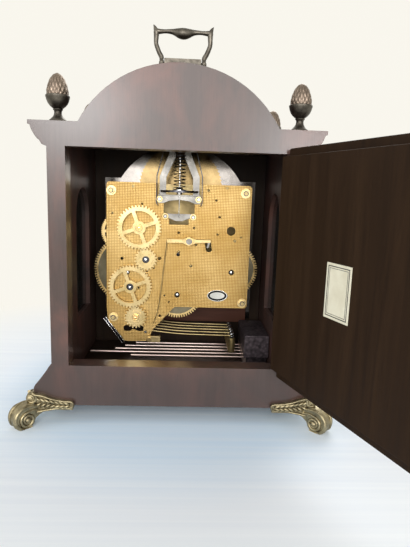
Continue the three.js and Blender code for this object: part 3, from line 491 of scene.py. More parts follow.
def plate_brass():
    """Brass sheet with a fine square grid rolled into it, as on pressed movement plates."""
    made = Shader("plate_brass", Metallic=1.0)
    pitch = 1.28  # mm between the grid's lines
    split = made.add("ShaderNodeSeparateXYZ")
    made.link(made.place, split.inputs[0])
    waves = []
    for axis in ("X", "Z"):
        turns = made.math("MULTIPLY", split.outputs[axis], TAU / (pitch * MM))
        waves.append(made.math("SINE", turns))
    squares = made.span(made.math("MINIMUM", *waves), 0.0, 1.0, -0.95, -0.1)
    cloud = made.noise((22.0, 22.0, 22.0), detail=5.0, rough=0.6)
    broad = made.mix(made.span(cloud, 0.0, 1.0, 0.36, 0.64), (0.43, 0.275, 0.088), (0.65, 0.47, 0.20))
    stains = made.span(made.noise(75.0, detail=6.0, rough=0.7), 0.0, 0.55, 0.56, 0.74)
    tarnished = made.mix(stains, broad, (0.34, 0.20, 0.06))
    made.color(made.mix(squares, (0.24, 0.14, 0.04), tarnished))
    made.roughness(made.span(made.noise(200.0), 0.28, 0.42))
    made.bump(squares, 0.1, 0.7)
    return made.material


def aged_brass(name, low, high, hollow):
    """Cast brass with dark patina in its hollows."""
    made = Shader(name, Metallic=1.0)
    cloud = made.noise(170.0, detail=6.0, rough=0.65)
    base = made.mix(made.span(cloud, 0.0, 1.0, 0.3, 0.7), low, high)
    point = made.add("ShaderNodeNewGeometry").outputs["Pointiness"]
    made.color(made.mix(made.span(point, 1.0, 0.0, 0.44, 0.51), base, hollow))
    made.roughness(made.span(made.noise(240.0, detail=4.0), 0.32, 0.55))
    made.bump(made.noise(600.0, detail=4.0), 0.12, 0.6)
    return made.material


case_tones = ((0.044, 0.027, 0.022), (0.064, 0.040, 0.033), (0.086, 0.056, 0.047))
dark_tones = ((0.010, 0.0055, 0.003), (0.020, 0.0105, 0.0052), (0.034, 0.019, 0.010))
door_tones = ((0.012, 0.0055, 0.0022), (0.022, 0.0105, 0.0042), (0.034, 0.017, 0.007))
red_tones = ((0.05, 0.016, 0.008), (0.085, 0.028, 0.014), (0.12, 0.042, 0.022))
# Blotchy wood, darker low down as painted shade.
blotched_with_low_shade = dict(specular=0.12, patches=0.75)
lacquer = dict(coat=0.9, coat_roughness=0.24, roughness=0.45, **blotched_with_low_shade)
wood_up = wood("mahogany_upright", case_tones, "Z", **lacquer)
wood_side = wood("mahogany_side", case_tones, "Z", coat=0.3, coat_roughness=0.35, roughness=0.5, **blotched_with_low_shade)
wood_across = wood("mahogany_across", case_tones, "X", **lacquer)
wood_deep = wood("mahogany_lengthwise", case_tones, "Y", **lacquer)
wood_roof = wood("mahogany_roof", case_tones, "Y", coat=0.25, coat_roughness=0.4, roughness=0.55, **blotched_with_low_shade)
wood_dark = wood("dark_wood", dark_tones, "Z", coat=0.35, coat_roughness=0.2)
wood_door = wood("door_wood", door_tones, "Z", coat=0.0, coat_roughness=0.4, roughness=0.6, specular=0.12)
wood_red = wood("red_board", red_tones, "X", coat=0.1, roughness=0.5)
wood_inside = wood("inside_wood", dark_tones, "Z", coat=0.05, coat_roughness=0.4, roughness=0.55,
                   specular=0.15)

brass_plate = plate_brass()
brass = metal("polished_brass", (0.80, 0.56, 0.24), (0.92, 0.70, 0.36), (0.16, 0.3), bump=0.02)
brass_pale = metal("gear_brass", (0.54, 0.405, 0.18), (0.74, 0.58, 0.31), (0.22, 0.36), bump=0.02)
great_teeth = metal("gilt_teeth", (0.62, 0.43, 0.17), (0.82, 0.62, 0.30), (0.2, 0.34), bump=0.02)
# Painted shade: the barrels and wheel webs get a dark copy of the teeth's brass, for the shade inside the
# movement.
shaded_great_wheel = metal("shaded_wheel_brass", (0.10, 0.088, 0.055), (0.24, 0.21, 0.14), (0.3, 0.45))
dial_back = metal("dial_back", (0.15, 0.14, 0.13), (0.30, 0.285, 0.265), (0.1, 0.2), scale=30.0)
moon_back = metal("moon_back", (0.15, 0.105, 0.045), (0.34, 0.25, 0.12), (0.1, 0.2), scale=30.0)
brass_dull = metal("dull_brass", (0.36, 0.28, 0.13), (0.62, 0.48, 0.24), (0.3, 0.5), bump=0.05)
antique = aged_brass("antique_brass", (0.13, 0.11, 0.068), (0.47, 0.40, 0.245), (0.022, 0.017, 0.010))
bronze = aged_brass("bronze", (0.15, 0.118, 0.092), (0.33, 0.26, 0.205), (0.03, 0.022, 0.018))
bronze_dark = aged_brass("dark_bronze", (0.05, 0.045, 0.038), (0.16, 0.145, 0.12), (0.012, 0.01, 0.008))
steel = metal("bright_steel", (0.13, 0.126, 0.118), (0.34, 0.33, 0.305), (0.22, 0.38), bump=0.02)
steel_dark = metal("dark_steel", (0.035, 0.035, 0.04), (0.11, 0.11, 0.12), (0.2, 0.35))
nickel = metal("nickel", (0.66, 0.67, 0.66), (0.86, 0.87, 0.86), (0.1, 0.2))
silvered = metal("silvered", (0.52, 0.49, 0.47), (0.70, 0.67, 0.64), (0.34, 0.5), bump=0.03)
rod_metal = metal("rod_metal", (0.60, 0.47, 0.42), (0.74, 0.61, 0.55), (0.3, 0.4), scale=12.0)
black = metal("black_steel", (0.008, 0.008, 0.010), (0.02, 0.02, 0.024), (0.2, 0.3))


def hammered_iron():
    made = Shader("hammered_iron", Metallic=0.35, Roughness=0.5)
    cells = made.add("ShaderNodeTexVoronoi", Scale=1.0, feature="SMOOTH_F1")
    made.link(made.scaled((420.0, 420.0, 420.0)), cells.inputs["Vector"])
    height = cells.outputs["Distance"]
    made.color(made.ramp(height, [(0.1, (0.105, 0.080, 0.088)), (0.7, (0.022, 0.016, 0.018))]))
    made.bump(height, 0.35, 0.8)
    return made.material


def paper():
    made = Shader("paper", Roughness=0.75)
    tone = made.noise(90.0, detail=6.0)
    made.color(made.ramp(tone, [(0.3, (0.66, 0.59, 0.42)), (0.7, (0.80, 0.74, 0.56))]))
    made.bump(made.noise(1600.0, detail=3.0), 0.04, 0.5)
    return made.material


def glass():
    made = Shader("pane_glass", Roughness=0.03, IOR=1.45, Transmission_Weight=1.0)
    tint = made.noise(8.0, detail=1.0)
    made.color(made.ramp(tint, [(0.3, (0.90, 0.95, 0.97)), (0.7, (0.95, 0.98, 0.99))]))
    return made.material


def enamel(name, low, high, roughness=0.35):
    made = Shader(name, Roughness=roughness, Coat_Weight=0.3)
    made.color(made.ramp(made.noise(140.0), [(0.3, low), (0.7, high)]))
    return made.material


iron = hammered_iron()
paper_face = paper()
pane = glass()
# Painted shade: the side panes are an opaque dark sheet instead of clear glass, for how dark they look from
# inside the case.
dark_pane = enamel("painted_dark_pane", (0.012, 0.014, 0.013), (0.020, 0.023, 0.021), 0.12)
ink = enamel("ink", (0.012, 0.012, 0.014), (0.022, 0.022, 0.025), 0.5)

# ---- camera, light and floor


def make_camera():
    yaw, pitch, roll = (radians(a) for a in (CAMERA_YAW, CAMERA_PITCH, CAMERA_ROLL))
    # Looking along -Y; yaw turns towards -X, pitch is downwards
    forward = Vector((-sin(yaw) * cos(pitch), -cos(yaw) * cos(pitch), -sin(pitch)))
    level = Vector((-cos(yaw), sin(yaw), 0))
    upright = level.cross(forward)
    right = cos(roll) * level + sin(roll) * upright
    up = -sin(roll) * level + cos(roll) * upright
    data = bpy.data.cameras.new("camera")
    data.sensor_fit = "HORIZONTAL"
    data.sensor_width = 36.0
    data.lens = 36.0 * FOCAL_PIXELS / IMAGE_WIDTH
    data.clip_start = 0.01
    camera = bpy.data.objects.new("camera", data)
    turn = Matrix((right, up, -forward)).transposed().to_4x4()
    camera.matrix_world = Matrix.Translation(Vector(CAMERA_AT) * MM) @ turn
    scene.collection.objects.link(camera)
    scene.camera = camera


def make_light(name, at, towards, size, power, color=(1, 1, 1)):
    data = bpy.data.lights.new(name, "AREA")
    data.shape = "RECTANGLE"
    data.size, data.size_y = size
    data.energy = power
    data.color = color
    light = bpy.data.objects.new(name, data)
    look = (Vector(towards) - Vector(at)).to_track_quat("-Z", "Y")
    light.matrix_world = Matrix.Translation(Vector(at)) @ look.to_matrix().to_4x4()
    scene.collection.objects.link(light)


def seen_directly(tree):
    """1 for camera, glossy and transmission rays, which see the plain backdrop."""
    path = tree.nodes.new("ShaderNodeLightPath")
    total = path.outputs["Is Camera Ray"]
    for kind in ("Is Glossy Ray", "Is Transmission Ray"):
        either = tree.nodes.new("ShaderNodeMath")
        either.operation = "MAXIMUM"
        tree.links.new(total, either.inputs[0])
        tree.links.new(path.outputs[kind], either.inputs[1])
        total = either.outputs[0]
    return total


def make_world():
    world = bpy.data.worlds.new("studio")
    world.use_nodes = True
    tree = world.node_tree
    light = tree.nodes["Background"]
    light.inputs["Color"].default_value = (0.70, 0.85, 1.0, 1)
    light.inputs["Strength"].default_value = 0.55
    backdrop = tree.nodes.new("ShaderNodeBackground")
    backdrop.inputs["Color"].default_value = (*BACKDROP, 1)
    backdrop.inputs["Strength"].default_value = 1.0
    choice = tree.nodes.new("ShaderNodeMixShader")
    tree.links.new(seen_directly(tree), choice.inputs[0])
    tree.links.new(light.outputs[0], choice.inputs[1])
    tree.links.new(backdrop.outputs[0], choice.inputs[2])
    tree.links.new(choice.outputs[0], tree.nodes["World Output"].inputs["Surface"])
    scene.world = world


def make_floor():
    """Whitewashed boards that fade into the backdrop away from the clock."""
    made = Shader("floor", Roughness=0.6)
    streaks = made.noise((1.5, 170.0, 1.0), detail=5.0, rough=0.7)
    boards = made.ramp(streaks, [(0.3, (0.80, 0.825, 0.86)), (0.7, (0.91, 0.92, 0.92))])
    distance = made.add("ShaderNodeVectorMath", operation="LENGTH")
    made.link(made.place, distance.inputs[0])
    # Painted shade: a blue tint on the floor close to the clock, where its shadow falls.
    near = made.ramp(streaks, [(0.3, (0.74, 0.89, 1.0)), (0.7, (0.84, 0.94, 1.0))])
    made.color(made.mix(made.span(distance.outputs["Value"], 0.9, 0.0, 0.11, 0.17), boards, near))
    fade = made.span(distance.outputs["Value"], 0.0, 1.0, 0.12, 0.36)
    glow = made.add("ShaderNodeEmission", Color=(*BACKDROP, 1), Strength=1.0)
    both = made.add("ShaderNodeMixShader")
    made.link(made.math("MULTIPLY", fade, seen_directly(made.tree)), both.inputs[0])
    made.link(made.base.outputs[0], both.inputs[1])
    made.link(glow.outputs[0], both.inputs[2])
    made.link(both.outputs[0], made.tree.nodes["Material Output"].inputs["Surface"])
    mesh = bpy.data.meshes.new("floor")
    reach = 30.0
    corners = [(x * reach, y * reach, FLOOR_Z * MM) for x, y in ((-1, -1), (1, -1), (1, 1), (-1, 1))]
    mesh.from_pydata(corners, [], [(0, 1, 2, 3)])
    floor = bpy.data.objects.new("floor", mesh)
    floor.data.materials.append(made.material)
    scene.collection.objects.link(floor)


make_camera()
make_world()
make_floor()
make_light("key", (0.0, 1.6, 0.66), (0, 0, 0.15), (1.7, 1.1), 20.0, (1.0, 0.965, 0.955))
make_light("kicker", (-0.46, 1.6, 0.31), (0, 0, 0.2), (0.3, 0.24), 3.0)
make_light("edge", (0.42, 1.6, 0.46), (0, 0, 0.15), (0.3, 0.26), 4.5)
make_light("fill", (1.3, 0.5, 0.9), (0, 0, 0.12), (0.9, 0.9), 5.0)
make_light("front", (-0.6, -1.6, 1.2), (0, 0, 0.15), (1.4, 1.4), 20.0)
scene.view_settings.view_transform = "Standard"

# ---- case


def make_case():
    looks = (
        (("back_frame", "front_frame"), wood_up, 0.9, 38), (("left_side", "right_side"), wood_side, 0.7, 38),
        (("plinth_left", "plinth_right", "cornice_left", "cornice_right"), wood_deep, 0.4, 25),
        (("roof_arch",), wood_roof, 0.4, 25), (("handle_pad",), wood_across, 0.8, 38),
        (("base_board",), wood_dark, 0, 38), (("back_door",), wood_door, 0.7, 38),
        (("front_door",), wood_up, 1, 38), (("dial_surround",), wood_inside, 0, 38),
        (("front_glass",), pane, 0.3, 38), (("left_glass", "right_glass"), dark_pane, 0.3, 38),
        (("back_hinge_upper", "back_hinge_lower", "front_hinge_upper", "front_hinge_lower"), brass, 0.15, 38))
    for names, material, bevel, smooth in looks:
        for name in names:
            dress(name, material, bevel, smooth)


def make_label():
    """Blank paper label with a ruled border, pasted on the inside of the back door."""
    x0, x1, z0, z1 = -16.5, 5.4, 87.7, 120.2
    face_y = BACK - 5
    sheet = block((x0, x1), (face_y - 0.22, face_y), (z0, z1))
    turn = door_turn()
    piece("door_label", placed(sheet, turn), paper_face, "back_door", bevel=0.08)
    rules = []
    for inset, width in ((1.5, 0.5), (2.8, 0.25)):
        a, b, c, d = x0 + inset, x1 - inset, z0 + inset, z1 - inset
        y = (face_y - 0.30, face_y - 0.2)
        rules += [block((a, b), y, (c, c + width)), block((a, b), y, (d - width, d)),
                  block((a, a + width), y, (c, d)), block((b - width, b), y, (c, d))]
    piece("door_label_border", placed(joined(*rules), turn), ink, "back_door")


def make_knobs():
    back = raised(
        [(0.2, 0), (4.6, 0), (4.7, 0.5), (4.3, 0.9), (2.2, 1.7), (1.8, 2.8), (1.9, 4.2), (3.2, 5.4),
         (4.3, 6.8), (4.6, 8.3), (4.1, 9.7), (2.6, 10.6), (0.2, 11)], BACK + 5)
    back = placed(turned(back, (73, 108), "Y", 32), door_turn())
    piece("back_knob", back, brass, "back_door", stands_for="back_door_knob")
    front = raised(
        [(0.2, 0), (4.8, 0), (4.8, -0.5), (3.6, -1.2), (2.1, -1.8), (1.9, -3.6), (2.6, -4.8), (3.9, -6),
         (4.6, -7.6), (4.4, -9.2), (3.2, -10.4), (0.2, -11)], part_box("front_door_knob")[1].y / MM)
    front = turned(front, (-73, 108), "Y", 32)
    piece("front_knob", front, brass, "front_door", stands_for="front_door_knob")


# ---- finials, feet and handle

SHOULDER_Z = 201
CORNERS = (("back_right", 1, 1), ("back_left", -1, 1), ("front_right", 1, -1), ("front_left", -1, -1))


def make_finials():
    """Acorns: a knurled nut in a plain cup on a turned foot."""
    z = SHOULDER_Z
    low, high = z + 18.2, z + 32.6

    def knurl(a, h):
        up = (h - low) / (high - low)
        if not 0.02 < up < 0.95:
            return 1
        lines = abs(sin(8 * a + 6.5 * up)) * abs(sin(8 * a - 6.5 * up))
        return 0.95 + 0.09 * lines ** 0.6

    egg = [(7.1, 0), (7.25, 1.4), (7.2, 3), (6.85, 5), (6.2, 7.4), (5.3, 9.8), (4.2, 11.8), (2.9, 13.4),
           (1.4, 14.4)]
    acorn = [(r, low + h) for r, h, _ in smooth_path([(r, h, 0) for r, h in egg], 5)] + [(0.1, z + 33.2)]
    cup = raised([(0.1, 9.4), (2.7, 9.6), (3.9, 10.2), (5.3, 11.4), (6.6, 13), (7.5, 15), (7.9, 16.6),
                  (8.15, 17.3), (8.15, 18.2), (7.6, 18.6), (0.1, 18.7)], z)
    stem = raised([(0.1, 0), (6.5, 0), (6.6, 0.9), (6.2, 1.8), (5, 2.8), (3.6, 4.2), (2.75, 5.8),
                   (2.55, 7.2), (2.7, 8.4), (3.3, 8.9), (3.4, 9.5), (2.7, 10), (0.1, 10.1)], z)
    for name, sx, sy in CORNERS:
        centre = (FINIAL[0] * sx, FINIAL[1] * sy)
        piece(f"acorn_{name}", turned(acorn, centre, "Z", 112, knurl), bronze,
              stands_for=f"finial_{name}", smooth=60)
        base = joined(turned(cup, centre, "Z", 56), turned(stem, centre, "Z", 48))
        piece(f"acorn_cup_{name}", base, bronze_dark, stands_for=f"finial_{name}",
              smooth=50)


def make_feet():
    """Cast corner feet: a scroll in the corner's diagonal between two arms of braided leaves."""
    cx, cy = FOOT_X, BACK
    half = 5.3
    body = rounded([
        (-17, 0, 0), (0.6, 0.4, 0), (1.6, 3, 1.5), (4, 3.4, 2), (7.8, 3.2, 2), (12.2, 1.4, 3),
        (15.6, -1.8, 3), (17, -6.4, 3), (16.2, -10.8, 3), (13.4, -13.4, 2.4), (9.8, FLOOR_Z, 0),
        (5.8, FLOOR_Z, 0), (2.4, -12, 2), (1, -8.6, 2), (-3, -6.2, 2), (-10, -4.6, 0), (-17, -4, 0)])
    parts = [prism(body, -half + 1, half - 1)]
    eye = (7, -8.2)
    for side in (-1, 1):
        y = side * (half - 0.9)
        outer = [(-2.8, side * 5.2, -0.6), (0.6, y, 0.9), (4.2, y, 1.7)]
        outer += [(x, y, z) for x, z in ring_arc(8, -6.4, 8.1, 92, -118, 24)]
        inner = [(-3, side * 5.2, -3.6), (-0.4, y, -2.6), (2.8, y, -1.8)]
        inner += [(x, y, z) for x, z in spiral(*eye, 5.8, 1.9, 88, -1.7, 52)]
        boss = [(0.1, -1.2), (2.1, -1.2), (2.1, 0.3), (1.6, 1.2), (0.1, 1.6)]
        boss = [(r, y + side * h) for r, h in boss]
        parts += [wire(outer, 2, [0.9, 1.45, 1.5, 1.4, 1.1], 8),
                  wire(inner, 2, [0.9, 1.3, 1.3, 1.2, 1.05, 1], 8), turned(boss, eye, "Y", 18)]
    for y in (-half + 1.7, half - 1.7):
        rib = [(5, y, 3.2), (8.8, y, 2.7), (12.4, y, 1.1), (15.6, y, -2), (16.8, y, -6.4), (16, y, -10.6),
               (13.6, y, -13)]
        parts.append(wire(rib, 5, [0.6, 0.9, 0.9, 0.8], 8))
    vertices, faces = joined(*parts)
    standing = [(x, y, max(z, FLOOR_Z)) for x, y, z in vertices]
    diagonal = Matrix.Translation((cx, cy, 0)) @ Matrix.Rotation(radians(45), 4, "Z")

    flange = rounded([
        (-29.3, 0.4, 2), (-28.2, 4, 2), (-22, 4.3, 2), (-14, 5.9, 3), (-6.8, 8.7, 2), (-1.6, 9.4, 1),
        (-1.6, -4.4, 1), (-10.1, -2.9, 3), (-19.8, -1.6, 2), (-28, -1.6, 2)], 4)
    rim = [(-3.2, 3.2, -4.2), (-10.1, 3, -2.7), (-19, 2.8, -1.2), (-26.4, 2.6, -1.2), (-29, 2.6, 1.2),
           (-27.6, 2.6, 3.5), (-22, 2.8, 4), (-14, 3, 5.5), (-6.8, 3.3, 8.2), (-1.4, 3.6, 9)]
    arm = [prism(flange, 0.35, 2.2), wire(rim, 5, [0.9, 0.8, 0.7, 0.8, 0.8, 0.7, 1], 8)]
    for k in range(7):
        x, middle, reach = -25.4 + 3.35 * k, 1.4 + 0.055 * k * k, 1.9 + 0.22 * k
        for way in (-reach, reach):
            leaf = [(x - 1.5, 2.2, middle + 0.3 * way / reach), (x + 0.6, 3.1, middle + way * 0.5),
                    (x + 2.6, 2.9, middle + way * 0.95), (x + 4, 2.2, middle + way * 1.05)]
            arm.append(wire(leaf, 4, [0.3, 1, 1.15, 0.9, 0.35], 8))
    curl = (0.7, 6.2)
    coil = [(x, 3.2, z) for x, z in spiral(*curl, 3.9, 1.3, 100, 1.5, 40)]
    arm += [prism(circle(*curl, 4, 28), 0.4, 2.8), tube(coil, between([1.2, 1.1, 0.9]), 8),
            turned([(1.4, 2), (1.4, 3.4), (1, 4.2), (0.1, 4.5)], curl, "Y", 18),
            block((-28, -0.8), (-11.2, 0.5), (-3.6, -0.02))]
    along_x = placed(joined(*arm), Matrix.Translation((cx, cy, 0)))
    swap = Matrix(((0, 1, 0, cx - cy), (1, 0, 0, cy - cx), (0, 0, 1, 0), (0, 0, 0, 1)))
    whole = joined(placed((standing, faces), diagonal), along_x, placed(along_x, swap))
    for name, sx, sy in CORNERS:
        piece(f"scroll_foot_{name}", mirrored(whole, sx, sy), antique,
              stands_for=f"foot_{name}", smooth=50)


def make_handle():
    z = HANDLE_PIVOT_Z
    leg = [(17, 2.3), (17, 4.5), (18.9, 8), (20.6, 12), (21.4, 15), (21.3, 19.5), (21.3, 23), (22.4, 26),
           (23.6, 28.1)]
    leg = wire([(x, 0, z + h) for x, h in leg], 6, [1.6, 1.95, 1.85, 1.8, 1.75, 2, 2.3, 1.3, 0.25], 20)
    eye = [(1.7, 15.2), (3, 15.2), (3.4, 15.8), (3.4, 17.8), (3, 18.4), (1.7, 18.4)]
    half = joined(leg, turned(eye, (0, z), "X", 28))
    # Half of the grip, from its end to its middle: x, height over the pivot, radius
    half_grip = [(21.6, 23.3, 2.1), (19.5, 23.3, 2.05), (17.5, 23.35, 1.75), (14.9, 23.5, 1.5),
                 (12.9, 23.6, 1.55), (10.9, 23.6, 1.75), (8.8, 23.5, 2), (6.6, 23.25, 2.65),
                 (4.8, 22.95, 3.3), (3, 22.65, 3.85), (1.4, 22.45, 4.15)]
    stations = [(-x, h, r) for x, h, r in half_grip] + [(0, 22.4, 4.25)] + half_grip[::-1]
    grip = wire([(x, 0, z + h) for x, h, _ in stations], 4, [r for *_, r in stations], 24)
    piece("bail", joined(half, mirrored(half, -1), grip), bronze_dark, "carry_handle",
          stands_for="carry_handle", smooth=60)
    dress("handle_plate", bronze_dark, 0.35)
    head = [(0.1, 253.6), (1.2, 253.6), (1.1, 254), (0.6, 254.2), (0.1, 254.25)]
    screws = [turned(head, (x, y), "Z", 20) for x, y in ((-8, 5.5), (8, 5.5), (-8, -5.5), (8, -5.5))]
    piece("handle_screws", joined(*screws), brass)


# ---- movement


def gear_places():
    places = [CHIME_START]
    for i, bearing in enumerate(CHIME_BEARINGS):
        distance = CHIME_MODULE * (CHIME_TEETH[i] + CHIME_TEETH[i + 1]) / 2
        a = radians(bearing)
        places.append((places[i][0] + distance * cos(a), places[i][1] + distance * sin(a)))
    return places


PLATE_OUTLINE = [
    (58.8, 163.5, 3.4), (-59, 163.5, 3.4), (-59, 61.4, 3.4), (2, 61.4, 5), (10, 52.5, 0), (20, 41, 3),
    (24.6, 31, 3), (42.6, 30.6, 3), (57.4, 48.6, 3), (58.8, 60, 0)]

# Drilled holes seen in the back plate: (x, z, radius)
DRILLED = [
    (37.3, 160.3, 1.15), (30.1, 146.6, 0.9), (46.1, 101.4, 1.3), (15.3, 102.3, 1.4), (19.8, 94.1, 0.8),
    (25.2, 91.3, 0.8), (32.2, 76.9, 0.9), (24.9, 67.5, 0.9), (10.6, 71, 0.8),
    (7, 65.5, 0.8), (14.2, 53.4, 1.1), (-0.2, 124, 1), (-12.6, 128.3, 1), (-33.4, 137.6, 1),
    (-30, 151, 1), (-38.5, 161.3, 1), (-32.1, 123.4, 0.9), (-14.6, 114.4, 1), (-51.6, 121.6, 0.8)]
# Pivots that end flush in the plate: (x, z, radius)
PIVOTS = [
    (-0.6, 108.1, 0.9), (-10.9, 96.6, 1), (-46.7, 118.4, 1), (-23.5, 158.8, 0.8), (54, 138.5, 0.7)]


def make_back_plate():
    holes = [circle(x, z, r, 18) for x, z, r in DRILLED]
    holes += [circle(x, z, r + 0.25, 18) for x, z, r in PIVOTS]
    for spots, r in ((gear_places(), 1.6), (PILLARS, 1.8), (BARRELS.values(), 1.9)):
        holes += [circle(x, z, r, 20) for x, z in spots]
    holes += [circle(0, DIAL_Z, 1.6, 18), circle(*SECOND_WHEEL, 1.3, 18), circle(*HAMMER_PIVOT, 1.3, 18)]
    holes.append(circle(-43.2, 126.5, 3.6, 32))
    holes.append([(-8, 130.6), (8, 130.6), (8, 135.8), (-8, 135.8)])
    lever_slot = [(-21.6, 118.6, 1.4), (-26.4, 119.4, 1.2), (-28.2, 109, 2.2), (-23, 108.6, 2.2)]
    # Two kidney shaped openings joined by a narrow neck
    kidneys = [(44.6, 44.6, 2.4), (38.4, 44.2, 1.5), (36.2, 42.6, 1.2), (33.8, 44.2, 1.5),
               (27.6, 44.8, 2.4), (27.4, 39.6, 2.4), (32.2, 39.4, 1.6), (36.2, 41.4, 0.8),
               (40, 39.2, 1.6), (44.6, 39.4, 2.4)]
    holes += [rounded(lever_slot, 5), rounded(kidneys, 5)]
    outline = rounded(PLATE_OUTLINE, 8)
    notch = both_sides([(17.2, 163.5), (17.2, 152.5), (12.6, 152.5), (12.6, 139.6)])
    split = next(i for i, (x, z) in enumerate(outline) if x < 0)
    outline = outline[:split] + notch + outline[split:]
    sheet = prism(outline, PLATE - 2, PLATE, holes)
    piece("plate_sheet", sheet, brass_plate, stands_for="back_plate", bevel=0.22)


def nut(x, z, across, height, phase):
    """Hexagonal nut on the back plate's washers."""
    return prism(ring_arc(x, z, across, phase, phase + 360, 6)[:-1], PLATE + 0.5, PLATE + 0.5 + height)


def cheese_screw(x, z, y, r, height, slot_turn):
    """Screw head with a slot across it."""
    c, s = cos(radians(slot_turn)), sin(radians(slot_turn))
    half, middle = r * 0.16, y + height * 0.5
    end = sqrt(r * r - half * half)
    lobe = [(end, half)] + [(a, b) for a, b in ring_arc(0, 0, r, 10, 170, 12) if b > half] + [(-end, half)]
    parts = [prism(circle(x, z, r, 28), y, middle)]
    for way in (1, -1):
        outline = [(x + way * (a * c - b * s), z + way * (a * s + b * c)) for a, b in lobe]
        parts.append(prism(outline, middle, y + height))
    return joined(*parts)


def washer(x, z, y, outer, inner, thick, steps=32):
    return prism(circle(x, z, outer, steps), y, y + thick, [circle(x, z, inner, steps - 8)])


def make_fasteners():
    washers = [washer(x, z, PLATE + 0.02, 3.9, 1.8, 0.5) for x, z in PILLARS]
    piece("pillar_washers", joined(*washers), brass_pale, bevel=0.1)
    nuts = [nut(x, z, 3, 1.8, 12 + 17 * i) for i, (x, z) in enumerate(PILLARS)]
    piece("pillar_nuts", joined(*nuts), brass_pale, bevel=0.2)
    rings = [washer(x, z, PLATE + 2.3, 2.1, 1.5, 0.12) for x, z in PILLARS]
    piece("pillar_stud_rings", joined(*rings), steel_dark)
    stud = raised([(1.5, 2), (1.5, 3), (1.1, 3.3), (0.1, 3.3)], PLATE)
    piece("pillar_studs", joined(*[turned(stud, spot, "Y", 20) for spot in PILLARS]), brass, bevel=0.08)
    ends = [turned(raised([(r, -1.6), (r, 0.1), (r * 0.6, 0.45), (0.1, 0.55)], PLATE), (x, z), "Y", 20)
            for x, z, r in PIVOTS]
    piece("pivot_ends", joined(*ends), brass_dull)
    collars = [washer(*BARRELS[name], PLATE + 0.02, 2.3, 1.85, 0.2) for name in ("time", "strike")]
    piece("arbor_collars", joined(*collars), black, bevel=0.08)


def make_badge():
    """Blank oval plate with a raised rim."""
    for name, outer, inner, top, material in (
            ("rim", (8.5, 4.9), (7.8, 4.3), 0.9, nickel), ("ring", (7.85, 4.35), (6.2, 2.9), 0.55, black)):
        band = prism(oval(*BADGE, *outer), PLATE + 0.02, PLATE + top, [oval(*BADGE, *inner)])
        piece(f"badge_{name}", band, material, bevel=0.12)
    piece("badge_face", prism(oval(*BADGE, 6.25, 2.95), PLATE + 0.02, PLATE + 0.45), nickel, bevel=0.1)


def make_small_parts():
    """Guide strip and block at the plate's lower left, and the rail below the dial."""
    low, high = Vector((44.6, 29.5)), Vector((60.5, 51))
    run = (high - low).normalized()
    side = Vector((run.y, -run.x))
    strips = (("core", -0.9, 0.9, black), ("edges", 0.8, 1.25, nickel), ("edge_inner", -1.25, -0.8, nickel))
    for name, near, far, material in strips:
        outline = [low + side * near, high + side * near, high + side * far, low + side * far]
        strip = prism([tuple(p) for p in outline], 8.4, 12.6)
        piece(f"guide_strip_{name}", strip, material, bevel=0.1)
    piece("spring_block", block((13.3, 24), (PLATE, 15.6), (31, 36.2)), brass_dull, bevel=0.4)
    piece("spring_block_screw", cheese_screw(22.6, 33.4, 15.6, 1.9, 1, 60), brass_pale, bevel=0.1)
    rail = block((-66, 66), (-49.2, -46.4), (33, 61.5))
    piece("dial_rail", rail, wood_red, bevel=0.4)


def make_chime_gears():
    phases = [0]
    for i, bearing in enumerate(CHIME_BEARINGS):
        share = (bearing - phases[i]) / (360 / CHIME_TEETH[i])
        phases.append(bearing + 180 - (0.5 - share) * 360 / CHIME_TEETH[i + 1])
    y0, y1 = GEAR_Y
    for i, spot in enumerate(gear_places()):
        large = CHIME_TEETH[i] > 30
        body = f"chime_gear_{i + 1}" if i < 3 else "chime_drum"
        outline = shifted(gear_outline(CHIME_TEETH[i], CHIME_MODULE, phases[i]), *spot)
        if large:
            windows = [shifted(w, *spot) for w in spoke_windows(4, 5.4, 13.6, 1.45, -20)]
            parts = [prism(outline, y0, y1, windows), prism(circle(*spot, 4.4, 40), y1, y1 + 0.5)]
        else:
            parts = [prism(outline, y0, y1), washer(*spot, y1, 5.6, 3.6, 0.25, 40)]
        piece(f"{body}_wheel", joined(*parts), brass_pale, body, stands_for=body, bevel=0.14)
        pale = i in (0, 3)
        hub = [(2.9, y0 - y1 - 0.8), (2.9, 0.9), (2.6, 1.2), (1.9, 1.2), (1.9, 0.7), (0.1, 0.7)]
        hub = turned(raised(hub, y1), spot, "Y", 32)
        piece(f"{body}_hub", hub, brass if pale else steel_dark, body, bevel=0.1)
        arbor = [(1.25, PLATE - y1 - 8), (1.25, 1.3), (0.9, 1.8), (0.1, 2)]
        arbor = turned(raised(arbor, y1), spot, "Y", 24)
        piece(f"{body}_arbor", arbor, brass if pale else nickel, body)
    x, z = gear_places()[3]
    pins = []
    for row, y in enumerate(ROD_Y):
        for k in range(4):
            a = radians(k * 90 + row * 18 + 130)
            pins.append(bar(x + 6.5 * cos(a), z + 6.5 * sin(a), 0.8, y - 0.8, y + 0.8, 10, 0.2))
    drum = joined(bar(x, z, 6.3, -34, 8, 40, 0.3), bar(x, z, 1.25, -38.6, 10, 16), *pins)
    piece("pin_drum", drum, brass_dull, "chime_drum", stands_for="chime_drum")


